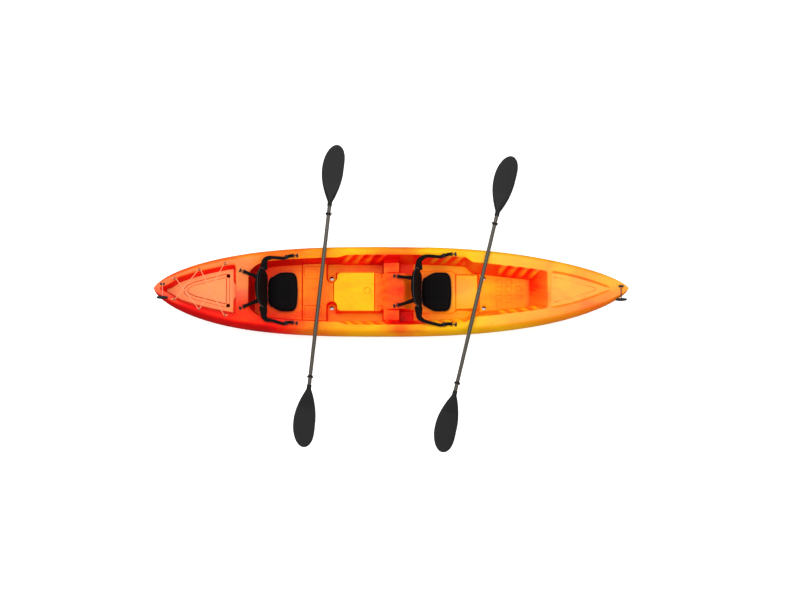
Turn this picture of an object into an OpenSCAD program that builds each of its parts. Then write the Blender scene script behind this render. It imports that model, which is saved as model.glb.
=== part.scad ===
// Sit-on-top tandem kayak with two padded seats, a laced tank well and two paddles laid across it.
// Millimetres. +X runs to the bow, +Y to port, +Z up. Z = 0 is the keel, X = 0 is mid-length.

/* [Hull] */
// Length of the hull
hull_l = 3700; // [3560:10:3900]
// Beam of the hull at its widest
hull_b = 710; // [690:5:760]
// Height of the gunwale over the cockpit
rim_z = 285; // [275:1:305]
// Rise of the deck from the gunwale to the bow tip
bow_rise = 60; // [40:1:80]
// Rise of the deck from the gunwale to the stern tip
stern_rise = 50; // [30:1:70]
// Rise of the keel at each tip
keel_rise = 225; // [190:1:240]
// Width of the rounded shoulder outside the gunwale
shoulder_w = 50; // [44:1:56]
// Depth of the two tracking grooves along the bottom
groove_d = 12; // [6:1:16]
// Bore of a scupper
scupper_d = 32; // [28:0.5:36]
// Distance of each scupper from the centre line
scupper_y = 118; // [112:1:124]

/* [Tank well] */
// Share of the deck's half width that the tank well takes
tank_reach = 0.86; // [0.82:0.01:0.88]
// Run of the tank well's front wall
tank_run = 27; // [20:1:32]
// Depth of the tank well below the gunwale
tank_d = 65; // [50:1:80]
// Front end of the tank well
tank_x = -1211; // [-1216:1:-1206]
// Distance from the stern tip to the tank well's point
tank_gap = 48; // [40:1:60]
// Width of the drain gutter round the tank well's panel
gutter_w = 31; // [24:1:34]
// Depth of the drain gutter
gutter_d = 8; // [4:0.5:10]

/* [Cockpit] */
// Height of the two seat pans
seat_z = 140; // [128:1:150]
// Height of the leg platforms in front of the seats
leg_z = 152; // [146:1:160]
// Height of the leg channels
foot_z = 95; // [80:1:110]
// Height of the centre seat
mid_z = 166; // [160:1:176]
// Half width of the centre seat
mid_hw = 157; // [150:1:164]
// Height of the hump behind the front seat
hump_z = 205; // [195:1:220]
// Half width of the hump
hump_hw = 146; // [144:1:156]
// Height of the cross bridge beside the hump
bridge_z = 188; // [176:1:200]
// Height of the pockets beside the front seat's back
pocket_z = 115; // [100:1:130]
// Height of the front footwell floor
front_z = 100; // [86:1:112]
// Depth of the bow deck's recess
bow_d = 14; // [8:1:24]
// Reach of the moulded foot braces out of the cockpit walls
brace_d = 17; // [10:1:22]
// Spacing of the moulded foot braces
brace_p = 86; // [76:1:96]

/* [Seats] */
// Hinge line of the rear seat's back
rear_x = -985; // [-995:1:-980]
// Hinge line of the front seat's back
front_x = 223; // [216:1:230]
// Length of a seat pad
pad_l = 228; // [216:2:240]
// Width of a seat pad
pad_w = 320; // [290:2:340]
// Thickness of a seat pad at its crown
pad_t = 46; // [34:1:56]
// Height of a backrest
back_h = 330; // [300:2:360]
// Width of a backrest
back_w = 312; // [290:2:330]
// Thickness of a backrest
back_t = 36; // [28:1:44]
// Lean of a backrest
back_lean = 10; // [8:0.5:13]

/* [Straps and eyes] */
// Width of the webbing
web_w = 25; // [20:0.5:28]
// Thickness of the webbing
web_t = 1.8; // [1.2:0.1:2.4]
// Width of a side strap where it is sewn to the backrest
wing_w = 62; // [50:1:74]
// Height of the wings up the backrest
wing_h = 178; // [160:1:200]
// Length of a pad eye's plate
eye_l = 32; // [30:0.5:36]
// Thickness of a pad eye's plate
eye_t = 3; // [2:0.25:4]
// Thickness of a pad eye's bar
bar_d = 5.5; // [4.5:0.25:6]
// Wire of a snap hook's ring
wire_d = 3.5; // [3:0.25:4]
// Mean diameter of a snap hook's ring
ring_d = 15; // [14:0.5:18]
// Clearance between fittings that hang on one another
fit_gap = 0.3; // [0.2:0.05:0.5]

/* [Paddles] */
// Length of a paddle
paddle_l = 2400; // [2200:10:2500]
// Diameter of a shaft
shaft_d = 30; // [28:0.5:32]
// Wall of a shaft
shaft_wall = 1.8; // [1.4:0.1:3]
// Length of a blade with its neck
blade_l = 490; // [450:5:520]
// Width of a blade
blade_w = 172; // [150:2:200]
// Depth of the socket in a blade's neck
socket_l = 70; // [60:1:80]
// Wall of a blade's neck
neck_wall = 3.6; // [3:0.1:5]
// Distance of a drip ring from the blade's neck
drip_gap = 65; // [40:1:120]
// Diameter of a drip ring
drip_d = 54; // [46:1:60]

/* [Handles and lacing] */
// Diameter of a handle's rope
rope_d = 8; // [6:0.5:9]
// Length of a toggle grip
grip_l = 88; // [76:1:100]
// Diameter of a toggle grip
grip_d = 25; // [22:0.5:28]
// Diameter of a bungee cord
cord_d = 6; // [5:0.5:7]

/* [Hidden] */
$fn = 48;

half_l = hull_l / 2;
// Where the deck and the keel start to rise
sheer_x = 1250;
rocker_x = 1000;
// Stations along the cockpit
well_x = -1118;
pan_x = -1071;
pan_end_x = -699;
leg_x = -499;
mid_x = -454;
step_x = -124;
bridge_x0 = -64;
bridge_x1 = 67;
front_pan_x = 160;
thigh_x = 506;
floor_x = 686;
bulk_x0 = 1083;
bulk_x1 = 1228;
bow_x = 1240;
bow_gap = 127;
// Where the gunwale changes its width: narrower beside the centre seat, wider at the front
slim_x = [-430, -330];
seat_rim_x = [150, 300];
foot_rim_x = [570, 650];
taper_x = 820;
// Width of the gunwale beside the rear seat, centre seat, front seat, front footwell and bulkhead
rim_w = [96, 75, 78, 114, 106];
// Run of the cockpit wall beside the same five
wall_w = [28, 55, 55, 69, 22];
// Flat that is always left inside the gunwale's crest
rim_flat = 22;
// Ends of the three stretches of foot braces, each with the runs over which they fade in and out
brace_aft = [-400, -370, -40, -10];
brace_mid = [290, 320, 560, 590];
brace_fore = [830, 850, 1150, 1190];
// Raised panel of the tank well: its point, its shoulder and its front
panel_x = [-1588, -1535, -1295];
panel_y = [40, 102];
panel_r = 16;
// Notch in the middle of the tank well's front wall: depth, half width, and where it ends
notch = [20, 45, 80];
tank_z = rim_z - tank_d;
tank_end = tank_gap - half_l;
bow_end = half_l - bow_gap;

// Smooth step, blend, and the unit vector along v
function ss(a, b, t) = let (k = min(1, max(0, (t - a) / (b - a)))) k * k * (3 - 2 * k);
function ramp(a, b, t) = min(1, max(0, (t - a) / (b - a)));
function mix(a, b, k) = a + (b - a) * k;
function unit(v) = v / norm(v);
function zone_in(e, x) = ss(e[0], e[1], x);
function zone(e, x) = ss(e[0], e[1], x) * (1 - ss(e[2], e[3], x));

// Plan and profile of the hull
function half_b(x) =
    let (u = 0.9995 * min(1, abs(x) / half_l))
    hull_b / 2 * (x < 0 ? pow(1 - pow(u, 3), 0.65) : pow(1 - pow(u, 2.3), 0.68));
function z_rim(x) =
    rim_z + (x < 0 ? stern_rise : bow_rise) * pow(ramp(sheer_x, half_l, abs(x)), 1.6);
function z_keel(x) = keel_rise * pow(ramp(rocker_x, half_l, abs(x)), 2.4);
function z_beam(x) = mix(z_keel(x), z_rim(x), 0.53);
function crest(x) = half_b(x) - min(shoulder_w, 0.3 * half_b(x));

// Width of the gunwale in plan, from the beam to the edge of the cockpit
function stretch(w, x) = w[0] + (w[1] - w[0]) * zone_in(slim_x, x) + (w[2] - w[1]) * zone_in(seat_rim_x, x)
    + (w[3] - w[2]) * zone_in(foot_rim_x, x);
function gunwale(x) = stretch(rim_w, x) + (rim_w[4] - rim_w[3]) * ss(taper_x, bulk_x1, x);
function tank_edge(x) =
    let (k = ramp(tank_x - 34, tank_x, x))
    mix(8, tank_reach * crest(x), pow(ramp(tank_end, tank_end + 150, x), 0.8)) - 34 * (1 - sqrt(1 - k * k));
function cockpit_edge(x) =
    let (w = half_b(x) - gunwale(x), k = ramp(well_x + 150, well_x, x))
    w - (w - 96) * (1 - sqrt(1 - k * k));
function bow_edge(x) = mix(half_b(bow_x) - gunwale(bow_x), 6, pow(ramp(bow_x, bow_end, x), 1.5));
// Half width of the openings at the gunwale and at the floor
function w_top(x) =
    min(crest(x) - min(rim_flat, 0.14 * crest(x)),
        x < tank_x ? tank_edge(x)
        : x < well_x ? mix(tank_edge(tank_x), 96, ss(tank_x, well_x, x))
        : x < bow_x ? cockpit_edge(x)
        : bow_edge(x));
function wall_run(x) = stretch(wall_w, x) + (wall_w[4] - wall_w[3]) * ss(bulk_x0, bow_x, x);
function w_floor(x) = max(0.4 * w_top(x), w_top(x) - wall_run(x));

// Heights along the middle of the cockpit, and along its sides
function z_mid(x) =
    x < step_x ?
        seat_z + (leg_z - seat_z) * ss(pan_end_x - 6, pan_end_x + 6, x)
        + (mid_z - leg_z) * ss(mid_x - 6, mid_x + 6, x)
        - (mid_z - leg_z) * ss(step_x - 12, step_x, x)
    : leg_z + (hump_z - leg_z) * ss(step_x, 0, x)
        - (hump_z - seat_z) * ss(100, front_pan_x, x)
        + (leg_z - seat_z) * ss(thigh_x - 6, thigh_x + 6, x)
        - (leg_z - front_z) * ss(floor_x - 14, floor_x + 14, x);
function z_side(x) =
    x < bridge_x0 - 6 ? mix(z_mid(x), foot_z, ss(leg_x - 6, leg_x + 6, x))
    : foot_z + (bridge_z - foot_z) * ss(bridge_x0 - 6, bridge_x0 + 6, x)
        - (bridge_z - pocket_z) * ss(bridge_x1 - 6, bridge_x1 + 6, x)
        + (seat_z - 8 - pocket_z) * ss(front_pan_x, front_pan_x + 16, x)
        - (seat_z - 8 - front_z) * ss(thigh_x + 40, floor_x, x);
function side_edge(x) = mid_hw - (mid_hw - hump_hw) * ss(-100, bridge_x0, x) + 22 * ss(front_pan_x, 260, x)
    - 30 * ss(thigh_x - 40, thigh_x + 20, x);
function lobe(x, v) = 1 - ss(30, 44, norm([x + 468, v - scupper_y]));
function z_well(x, v) =
    let (e = side_edge(x), k = ss(e - 7, e + 7, v), z = mix(z_mid(x), z_side(x), k))
    mix(z, foot_z, lobe(x, v));
// Floor of the deck inside the opening's edge
function tank_foot(v) = tank_x - tank_run + notch[0] * (1 - ss(notch[1], notch[2], v));
function z_floor(x, v) =
    x < well_x ?
        mix(z_rim(x), tank_z, ss(tank_end, tank_end + 50, x) * (1 - ss(tank_foot(v), tank_x, x)))
    : x < bow_x - 6 ?
        mix(mix(z_rim(x), z_well(x, v), ss(well_x, pan_x, x)), z_rim(x), ramp(bulk_x0, bulk_x1, x))
    : z_rim(x) - bow_d * ss(bow_x - 6, bow_x + 14, x) * (1 - ss(bow_end - 40, bow_end, x));

// Foot braces: slanting saw teeth moulded into three stretches of each wall
function brace_zone(x) =
    zone(brace_aft, x) + zone(brace_mid, x) + zone(brace_fore, x);
function saw(p) = let (f = p - floor(p)) f < 0.72 ? f / 0.72 : (1 - f) / 0.28;
function brace(x, t) = brace_d * brace_zone(x) * sin(180 * t) * saw((x - 70 * t) / brace_p);

// Half of the deck at one station, from the centre line to the crest
wall_steps = [0.2, 0.5, 0.8, 1];
// Across the floor: the foot and the head of the step beside the seats are always among the points
function floor_ys(x, wf) =
    let (e = min(0.8 * wf, max(0.4 * wf, side_edge(x))), b = min(8, 0.06 * wf))
    [0, 0.45 * (e - b), 0.75 * (e - b), e - b, e + b, (e + b + wf) / 2, wf];
function half_deck(x) =
    let (wf = w_floor(x), wt = w_top(x), zr = z_rim(x), ze = z_floor(x, wf))
    concat(
        [for (y = floor_ys(x, wf)) [y, z_floor(x, y)]],
        [for (t = wall_steps) [mix(wf, wt, t) - brace(x, t), mix(ze, zr, (t + ss(0, 1, t)) / 2)]],
        [[crest(x), zr]]);
// Half of the outside, from the crest round the shoulder and the bilge to the keel
function half_bottom(x) =
    let (b = half_b(x), c = crest(x), zr = z_rim(x), zm = z_beam(x), zk = z_keel(x),
        g = groove_d * (1 - ss(rocker_x, half_l - 200, abs(x))))
    concat(
        [for (t = [1/3, 2/3, 1]) [c + (b - c) * sin(90 * t), zm + (zr - zm) * cos(90 * t)]],
        [for (t = [0.28, 0.52, 0.76, 1]) [0.48 * b + 0.52 * b * cos(90 * t), mix(zm, zk, sin(90 * t))]],
        [[0.4 * b, zk], [0.29 * b, zk + g], [0.17 * b, zk]]);
function section(x) =
    let (d = half_deck(x), u = half_bottom(x), n = len(d), m = len(u))
    concat(
        [for (i = [n - 1:-1:1]) [x, -d[i].x, d[i].y]],
        [for (i = [0:n - 1]) [x, d[i].x, d[i].y]],
        [for (i = [0:m - 1]) [x, u[i].x, u[i].y]],
        [for (i = [m - 1:-1:0]) [x, -u[i].x, u[i].y]]);
// Stations: each stretch is split into equal steps
stretches = [
    [-half_l, -half_l + 4, 1], [-half_l + 4, -half_l + 16, 1], [-half_l + 16, tank_end, 2],
    [tank_end, tank_end + 50, 3], [tank_end + 50, tank_x - 34, 8], [tank_x - 34, tank_x - tank_run, 1],
    [tank_x - tank_run, tank_x - 7, 2], [tank_x - 7, tank_x, 1], [tank_x, well_x, 2],
    [well_x, pan_x, 4], [pan_x, well_x + 150, 3],
    [well_x + 150, pan_end_x - 6, 3], [pan_end_x - 6, pan_end_x + 6, 1], [pan_end_x + 6, leg_x - 6, 3],
    [leg_x - 6, leg_x + 6, 1], [leg_x + 6, mid_x - 6, 2], [mid_x - 6, mid_x + 6, 1],
    [mid_x + 6, brace_aft[0], 2], [brace_aft[0], step_x - 12, 10], [step_x - 12, step_x, 1],
    [step_x, bridge_x0 - 6, 2],
    [bridge_x0 - 6, bridge_x0 + 6, 1], [bridge_x0 + 6, bridge_x1 - 6, 3], [bridge_x1 - 6, bridge_x1 + 6, 1],
    [bridge_x1 + 6, front_pan_x, 4], [front_pan_x, brace_mid[0], 4], [brace_mid[0], thigh_x - 6, 8],
    [thigh_x - 6, thigh_x + 6, 1], [thigh_x + 6, brace_mid[3], 3], [brace_mid[3], floor_x - 14, 3],
    [floor_x - 14, floor_x + 14, 2], [floor_x + 14, brace_fore[0], 3], [brace_fore[0], bulk_x0, 9],
    [bulk_x0, bulk_x1, 5],
    [bulk_x1, bow_x + 14, 2], [bow_x + 14, bow_end - 40, 6], [bow_end - 40, bow_end, 2],
    [bow_end, half_l - 16, 4], [half_l - 16, half_l - 4, 1], [half_l - 4, half_l, 1]];
stations = concat([-half_l], [for (s = stretches) for (i = [1:s[2]]) mix(s[0], s[1], i / s[2])]);

// Skin over a row of rings, each listed clockwise as seen from the last one's end
function total(r, i = 0) = i < len(r) ? r[i] + total(r, i + 1) : [0, 0, 0];
module loft(rings) {
    n = len(rings);
    m = len(rings[0]);
    polyhedron(
        points = concat([for (r = rings) for (p = r) p], [total(rings[0]) / m, total(rings[n - 1]) / m]),
        faces = concat(
            [for (j = [0:m - 1]) [n * m, (j + 1) % m, j]],
            [for (i = [0:n - 2]) for (j = [0:m - 1])
                [i * m + j, i * m + (j + 1) % m, (i + 1) * m + (j + 1) % m]],
            [for (i = [0:n - 2]) for (j = [0:m - 1]) [i * m + j, (i + 1) * m + (j + 1) % m, (i + 1) * m + j]],
            [for (j = [0:m - 1]) [n * m + 1, (n - 1) * m + j, (n - 1) * m + (j + 1) % m]]),
        convexity = 10);
}

// Tangent at each point of a route
function tangents(p) =
    let (n = len(p))
    [for (i = [0:n - 1]) unit(p[min(n - 1, i + 1)] - p[max(0, i - 1)])];
// Round tube along a route; ref is a direction that the route never follows
module tube(p, d, sides, ref) {
    t = tangents(p);
    loft([for (i = [0:len(p) - 1])
        let (w = unit(cross(ref, t[i])), n = cross(t[i], w))
        [for (j = [0:sides - 1]) p[i] + d / 2 * (sin(360 * j / sides) * n - cos(360 * j / sides) * w)]]);
}
// Flat webbing along a route: widths and the direction of the width at each point
module webbing(p, wide, dirs, thick) {
    t = tangents(p);
    loft([for (i = [0:len(p) - 1])
        let (w = unit(dirs[i] - (dirs[i] * t[i]) * t[i]), n = cross(t[i], w),
            a = wide[i] / 2 * w, h = thick / 2 * n)
        [p[i] - a + h, p[i] + a + h, p[i] + a - h, p[i] - a - h]]);
}

// Scuppers: two in the tank well's gutter, two in the rear footwells, two in the front footwell
scuppers = [[-1277, tank_z - gutter_d], [-468, foot_z], [729, front_z]];
module scupper_cuts() {
    for (s = scuppers, side = [-1, 1]) translate([s[0], side * scupper_y, 0]) {
        translate([0, 0, -30]) cylinder(d = scupper_d, h = s[1] + 60);
        translate([0, 0, s[1] - 9]) cylinder(d1 = scupper_d, d2 = scupper_d + 24, h = 12);
    }
}
// Drain gutter round the raised panel of the tank well
module panel_outline(grow) {
    offset(r = panel_r + grow)
        polygon([[panel_x[0], 0], [panel_x[1], panel_y[0]], [panel_x[2], panel_y[1]],
            [panel_x[2], -panel_y[1]], [panel_x[1], -panel_y[0]]]);
}
module gutter_cut() {
    translate([0, 0, tank_z - gutter_d]) linear_extrude(height = gutter_d + 4) difference() {
        panel_outline(gutter_w / 2);
        panel_outline(-gutter_w / 2);
    }
}
// Shallow marks moulded into the floors: heel rests, a round dish, a panel line and tread pads
mark_d = 4;
heel = [-614, 155, 140, 100, 22];
dish = [-189, 8, 27];
thigh_panel = [600, 0, 150, 244, 26];
thigh_line = 6;
tread_x = [850, 925, 1000];
tread_y = [34, 92];
tread = [52, 40, 6];
module plate(m, grow) {
    translate([m[0], m[1]]) offset(r = m[4] + grow) square([m[2] - 2 * m[4], m[3] - 2 * m[4]], center = true);
}
module sink(z) {
    translate([0, 0, z - mark_d]) linear_extrude(height = mark_d + 4) children();
}
module mark_cuts() {
    for (side = [-1, 1]) sink(leg_z) plate([heel[0], side * heel[1], heel[2], heel[3], heel[4]], 0);
    sink(mid_z) translate([dish[0], dish[1]]) circle(r = dish[2]);
    sink(leg_z) difference() {
        plate(thigh_panel, thigh_line / 2);
        plate(thigh_panel, -thigh_line / 2);
    }
    for (x = tread_x, y = tread_y, side = [-1, 1])
        sink(front_z) plate([x, side * y, tread[0], tread[1], tread[2]], 0);
}
module hull() {
    color("orange") difference() {
        loft([for (x = stations) section(x)]);
        gutter_cut();
        mark_cuts();
        scupper_cuts();
    }
}

// Pad eyes: place on the deck, and where the hook that hangs on it is pulled to
pull_z = 14;
eye_side = (crest(-735) + w_top(-735)) / 2;
eye_front = (crest(504) + w_top(504)) / 2;
bar_z = eye_t + ring_d / 2 + wire_d / 2 + fit_gap;
rear_eyes = [[-735, eye_side, rim_z], [-1180, 150, rim_z]];
front_eyes = [[504, eye_front, rim_z], [23, hump_hw - 26, hump_z]];
rear_pulls = [[-880, eye_side - 14, 0], [-1085, 112, 0]];
front_pulls = [[330, eye_front - 14, 0], [118, hump_hw - 44, 0]];
function heading(e, p) = atan2(p.y - e.y, p.x - e.x);
module at_eye(e, p, side) {
    translate([e.x, side * e.y, e.z]) rotate([0, 0, side * heading(e, p)]) children();
}
module pad_eye() {
    rotate([0, 0, 90]) bar_eye(eye_l, 14, ring_d - 2, bar_z, bar_d);
}
module seat_eyes() {
    color("dimgray") for (side = [-1, 1]) {
        for (i = [0, 1]) at_eye(rear_eyes[i], rear_pulls[i], side) pad_eye();
        for (i = [0, 1]) at_eye(front_eyes[i], front_pulls[i], side) pad_eye();
    }
}

// Snap hook: ring round the eye's bar, swivel barrel and a slot for the webbing
hook_x = ring_d / 2 - wire_d / 2 - bar_d / 2 - fit_gap;
slot_x = hook_x + ring_d / 2 + 13;
loop_t = 4;
loop_l = 12;
module snap_hook() {
    translate([0, 0, bar_z]) {
        translate([hook_x, 0, 0]) rotate([90, 0, 0])
            rotate_extrude() translate([ring_d / 2, 0]) circle(d = wire_d);
        translate([hook_x + ring_d / 2 - 0.6, 0, 0]) rotate([0, 90, 0]) cylinder(d = 8, h = 15);
        translate([slot_x, 0, -loop_t / 2]) difference() {
            translate([0, -web_w / 2 - 4, 0]) cube([loop_l, web_w + 8, loop_t]);
            translate([4, -web_w / 2 - 1, -1]) cube([loop_l - 8, web_w + 2, loop_t + 2]);
        }
    }
}
module hooks(eyes, pulls) {
    color("silver") for (side = [-1, 1], i = [0, 1]) at_eye(eyes[i], pulls[i], side) snap_hook();
}
// Where the webbing leaves the hook, over the far bar of its slot
lift = loop_t / 2 + fit_gap + web_t / 2;
function hook_point(e, p, along) =
    let (a = heading(e, p)) [e.x + along * cos(a), e.y + along * sin(a), e.z + bar_z + lift];

// Backrest, in its own frame: hinge line at the origin, rising along +Z before it leans
function back_hw(h) = back_w / 2 * (0.8 + 0.2 * sin(180 * ramp(0, back_h * 1.25, h)))
    * pow(1 - pow(abs(2 * h / back_h - 1), 9), 0.4);
back_bow = 26;
function back_mid(y) = back_bow * pow(y / (back_w / 2), 2);
back_steps = [-1, -0.94, -0.8, -0.55, -0.28, 0, 0.28, 0.55, 0.8, 0.94, 1];
function back_edge(f) = pow(max(0, 1 - pow(abs(f), 5)), 0.5);
function back_ring(h) =
    let (w = max(24, back_hw(h)),
        t = back_t / 2 * (0.45 + 0.55 * pow(1 - pow(abs(2 * h / back_h - 1), 6), 0.5)))
    concat(
        [for (f = back_steps) [back_mid(f * w) - t * max(0.24, back_edge(f)), f * w, h]],
        [for (i = [10:-1:0]) let (f = back_steps[i])
            [back_mid(f * w) + t * max(0.24, back_edge(f)), f * w, h]]);
back_heights = [0, 0.015, 0.05, 0.12, 0.22, 0.34, 0.46, 0.58, 0.7, 0.8, 0.88, 0.95, 0.985, 1];
// The bottom of the back sits just clear of the pad's rear edge
back_z = seat_z + 24;
module backrest(x) {
    color("darkslategray") translate([x, 0, back_z]) rotate([0, -back_lean, 0])
        loft([for (f = back_heights) back_ring(f * back_h)]);
}
// A point beside or behind the backrest, in the hull's frame
function back_point(x, h, y, off) =
    let (d = back_mid(y) + off)
    [x + d * cos(back_lean) - h * sin(back_lean), y, back_z + d * sin(back_lean) + h * cos(back_lean)];

// Seat pad: crowned, drawn in beside the backrest, rounded at the front corners
pad_gap = fit_gap + 0.1;
function pad_hw(t) = pad_w / 2 * mix(0.7, 1, ss(0, 0.5, t)) * pow(1 - pow(abs(2 * t - 1), 7), 0.42);
pad_steps = [-1, -0.97, -0.88, -0.7, -0.4, 0, 0.4, 0.7, 0.88, 0.97, 1];
function pad_crown(f) = pow(max(0, 1 - pow(abs(f), 4)), 0.5);
function pad_ring(x, t) =
    let (w = max(30, pad_hw(t)), h = pad_t * (0.42 + 0.58 * pow(1 - pow(abs(2 * t - 1), 5), 0.5)))
    concat(
        [for (f = pad_steps) [x + t * pad_l, f * w, seat_z + pad_gap + h * mix(0.42, 1, pad_crown(f))]],
        [for (i = [10:-1:0]) let (f = pad_steps[i])
            [x + t * pad_l, f * w * 0.965, seat_z + pad_gap + 5 * (1 - pad_crown(f * 0.99))]]);
pad_stations = [0, 0.012, 0.04, 0.1, 0.2, 0.32, 0.44, 0.56, 0.68, 0.8, 0.9, 0.96, 0.988, 1];
// The pad runs forward from the backrest
pad_x = back_t / 2 + 6;
module seat_pad(x) {
    color("black") loft([for (t = pad_stations) pad_ring(x + pad_x, t)]);
}

// Side strap: a wing sewn to the edge of the backrest, narrowing to webbing that runs forward to its hook
wing_run = 88;
// Clearance of a strap from the backrest that it is sewn to
sewn_gap = fit_gap + 0.3;
// How far the port straps are drawn in, and the starboard ones lie slack, at the middle of their run
slack = 15;
function side_route(x, e, p, side) =
    let (r = back_point(x, wing_h, back_w / 2, 0), h = hook_point(e, p, slot_x + 6),
        y0 = max(r.y, back_hw(wing_h)) + sewn_gap, z1 = rim_z + pull_z)
    [[r.x - 4, y0, r.z], [r.x - 2, y0 + 0.35 * wing_run, mix(r.z, z1, 0.45)],
        [r.x + 2, y0 + 0.75 * wing_run, mix(r.z, z1, 0.85)], [r.x + 24, min(y0 + wing_run, p.y - 10), z1 + 3],
        [r.x + 64, p.y - 4, z1 + 4],
        [mix(r.x + 64, h.x, 0.5), mix(p.y, h.y, 0.42) - side * slack, mix(z1 + 4, h.z, 0.5)],
        hook_point(e, p, slot_x + 34), h];
side_widths = [wing_w, wing_w * 0.86, wing_w * 0.7, wing_w * 0.56, web_w, web_w, web_w, web_w];
side_dirs = [[-1, 0, 0], [-1, 0, 0.1], [-1, 0.1, 0.2], [-1, 1, 0.3],
    [0, 1, 0.15], [0, 1, 0], [0, 1, 0], [0, 1, 0]];
// A strap on the starboard side is the port one mirrored
module on_side(side) {
    if (side > 0) children();
    else mirror([0, 1, 0]) children();
}
module side_strap(x, e, p, side) {
    color("dimgray") on_side(side) webbing(side_route(x, e, p, side), side_widths, side_dirs, web_t);
}
// Tail strap: from the back of the backrest down to its hook
tail_h = 150;
tail_y = back_w / 2 * 0.55;
function tail_route(x, e, p) =
    let (r = back_point(x, tail_h, tail_y, -back_t / 2 - web_t / 2 - sewn_gap),
        h = hook_point(e, p, slot_x + 6), q = hook_point(e, p, slot_x + 30))
    [r + [8 * sin(back_lean), 0, -40], r, [mix(r.x, q.x, 0.35), mix(r.y, q.y, 0.35), mix(r.z, q.z, 0.42)],
        [mix(r.x, q.x, 0.7), mix(r.y, q.y, 0.7), mix(r.z, q.z, 0.8)], q, h];
tail_widths = [web_w * 1.5, web_w * 1.5, web_w * 1.3, web_w, web_w, web_w];
module tail_strap(x, e, p, side) {
    a = heading(p, e);
    flat = [2 * back_bow * tail_y / pow(back_w / 2, 2), 1, 0];
    hung = [sin(a), -cos(a), 0];
    color("dimgray") on_side(side)
        webbing(tail_route(x, e, p), tail_widths, [flat, flat, (flat + hung) / 2, hung, hung, hung], web_t);
}
// Slider: a flat keeper round each side strap
slider_l = 16;
module slider(x, e, p, side) {
    r = side_route(x, e, p, side);
    a = r[5];
    b = r[6];
    t = unit(b - a);
    translate((a + b) / 2) rotate([0, -asin(t.z), atan2(t.y, t.x)]) difference() {
        cube([slider_l, web_w + 9, web_t + 6], center = true);
        cube([slider_l + 2, web_w + 3, web_t + 1.6], center = true);
    }
}
module sliders(x, e, p) {
    color("black") for (side = [-1, 1]) on_side(side) slider(x, e, p, side);
}

// Paddles: built along Y, then laid across the gunwale
paddle_z = rim_z + shaft_d / 2 + 0.1;
neck_y = paddle_l / 2 - blade_l;
shaft_end = neck_y + socket_l;
neck_r = shaft_d / 2 + neck_wall;
function blade_hw(s) =
    s < 35 ? neck_r
    : s < 0.6 * blade_l ? neck_r + (blade_w / 2 - neck_r) * sin(90 * pow((s - 35) / (0.6 * blade_l - 35), 0.92))
    : blade_w / 2 * pow(1 - pow((s - 0.6 * blade_l) / (0.4005 * blade_l), 2.6), 0.5);
function blade_ht(s) = mix(neck_r, 4.5, ss(socket_l + 4, socket_l + 120, s)) * (1 - 0.45 * ss(0.7 * blade_l, blade_l, s));
function blade_rise(s) = 20 * pow(ramp(socket_l, blade_l, s), 2);
function blade_skew(s) = -6 * sin(180 * ramp(60, blade_l, s)) + 9 * ss(0.6 * blade_l, blade_l, s);
blade_stations = [0, 0.07, 0.165, 0.21, 0.26, 0.32, 0.4, 0.5, 0.6, 0.7, 0.79, 0.87, 0.93, 0.97, 0.99, 1];
function blade_ring(s) =
    [for (j = [0:15]) let (a = 360 * j / 16)
        [cos(a) * blade_hw(s) + blade_skew(s), neck_y + s, sin(a) * blade_ht(s) + blade_rise(s)]];
module at_paddle(place) {
    translate([place[0], place[1], paddle_z]) rotate([0, 0, -place[2]]) children();
}
// The far end's blade is the near one mirrored, with the long edge on the same side
module blade(place, side) {
    color("black") at_paddle(place) on_side(side) difference() {
        loft([for (f = blade_stations) blade_ring(f * blade_l)]);
        translate([0, neck_y - 1, 0]) rotate([-90, 0, 0]) cylinder(d = shaft_d, h = socket_l + 1);
    }
}
module shaft(place) {
    color("slategray") at_paddle(place) rotate([-90, 0, 0]) difference() {
        cylinder(d = shaft_d, h = 2 * shaft_end, center = true);
        cylinder(d = shaft_d - 2 * shaft_wall, h = 2 * shaft_end + 2, center = true);
    }
}
// Drip ring: a rubber cup that slides on the shaft, open towards the blade
module drip_ring(place, side) {
    r = shaft_d / 2 + 0.05;
    color("black") at_paddle(place) on_side(side) translate([0, neck_y - drip_gap, 0]) rotate([-90, 0, 0])
        rotate_extrude() polygon([[r, -9], [r + 4, -9], [r + 5, -5], [drip_d / 2 - 1, 5], [drip_d / 2, 8],
            [drip_d / 2 - 2.5, 8], [r + 4, 0], [r + 3, 7], [r, 7]]);
}
rear_place = [-560, -47, 6.1];
front_place = [662, -111, 13.4];

// Handles: an eye on the deck, a rope looped round its bar, and a toggle at the edge of the deck
bar_h = 16;
loop_r = bar_d / 2 + rope_d / 2 + fit_gap;
// Place of each eye, then how far the toggle lies to starboard of it and above the deck
bow_at = [half_l - 58, 16, -104, -6];
stern_at = [-half_l + 66, 36, -109, grip_d / 2 + 1];
// Frame on the deck that follows its slope
function slope(x) = atan((z_rim(x - 10) - z_rim(x + 10)) / 20);
module on_deck(x, y) {
    translate([x, y, z_rim(x) + fit_gap]) rotate([0, slope(x), 0]) children();
}
// Plate with a bar on two posts; the bar runs along X
module bar_eye(plate_l, plate_w, span, high, bar) {
    linear_extrude(height = eye_t) offset(r = 4) square([plate_l - 8, plate_w - 8], center = true);
    for (s = [-1, 1]) translate([s * span / 2, 0, eye_t - 0.5]) cylinder(d = bar, h = high - eye_t + 0.5);
    for (s = [-1, 1]) translate([s * span / 2, 0, high]) sphere(d = bar);
    translate([0, 0, high]) rotate([0, 90, 0]) cylinder(d = bar, h = span, center = true);
}
module anchor(at) {
    color("dimgray") on_deck(at[0], at[1]) bar_eye(rope_d + 32, 16, rope_d + 9, bar_h, bar_d);
}
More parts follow.
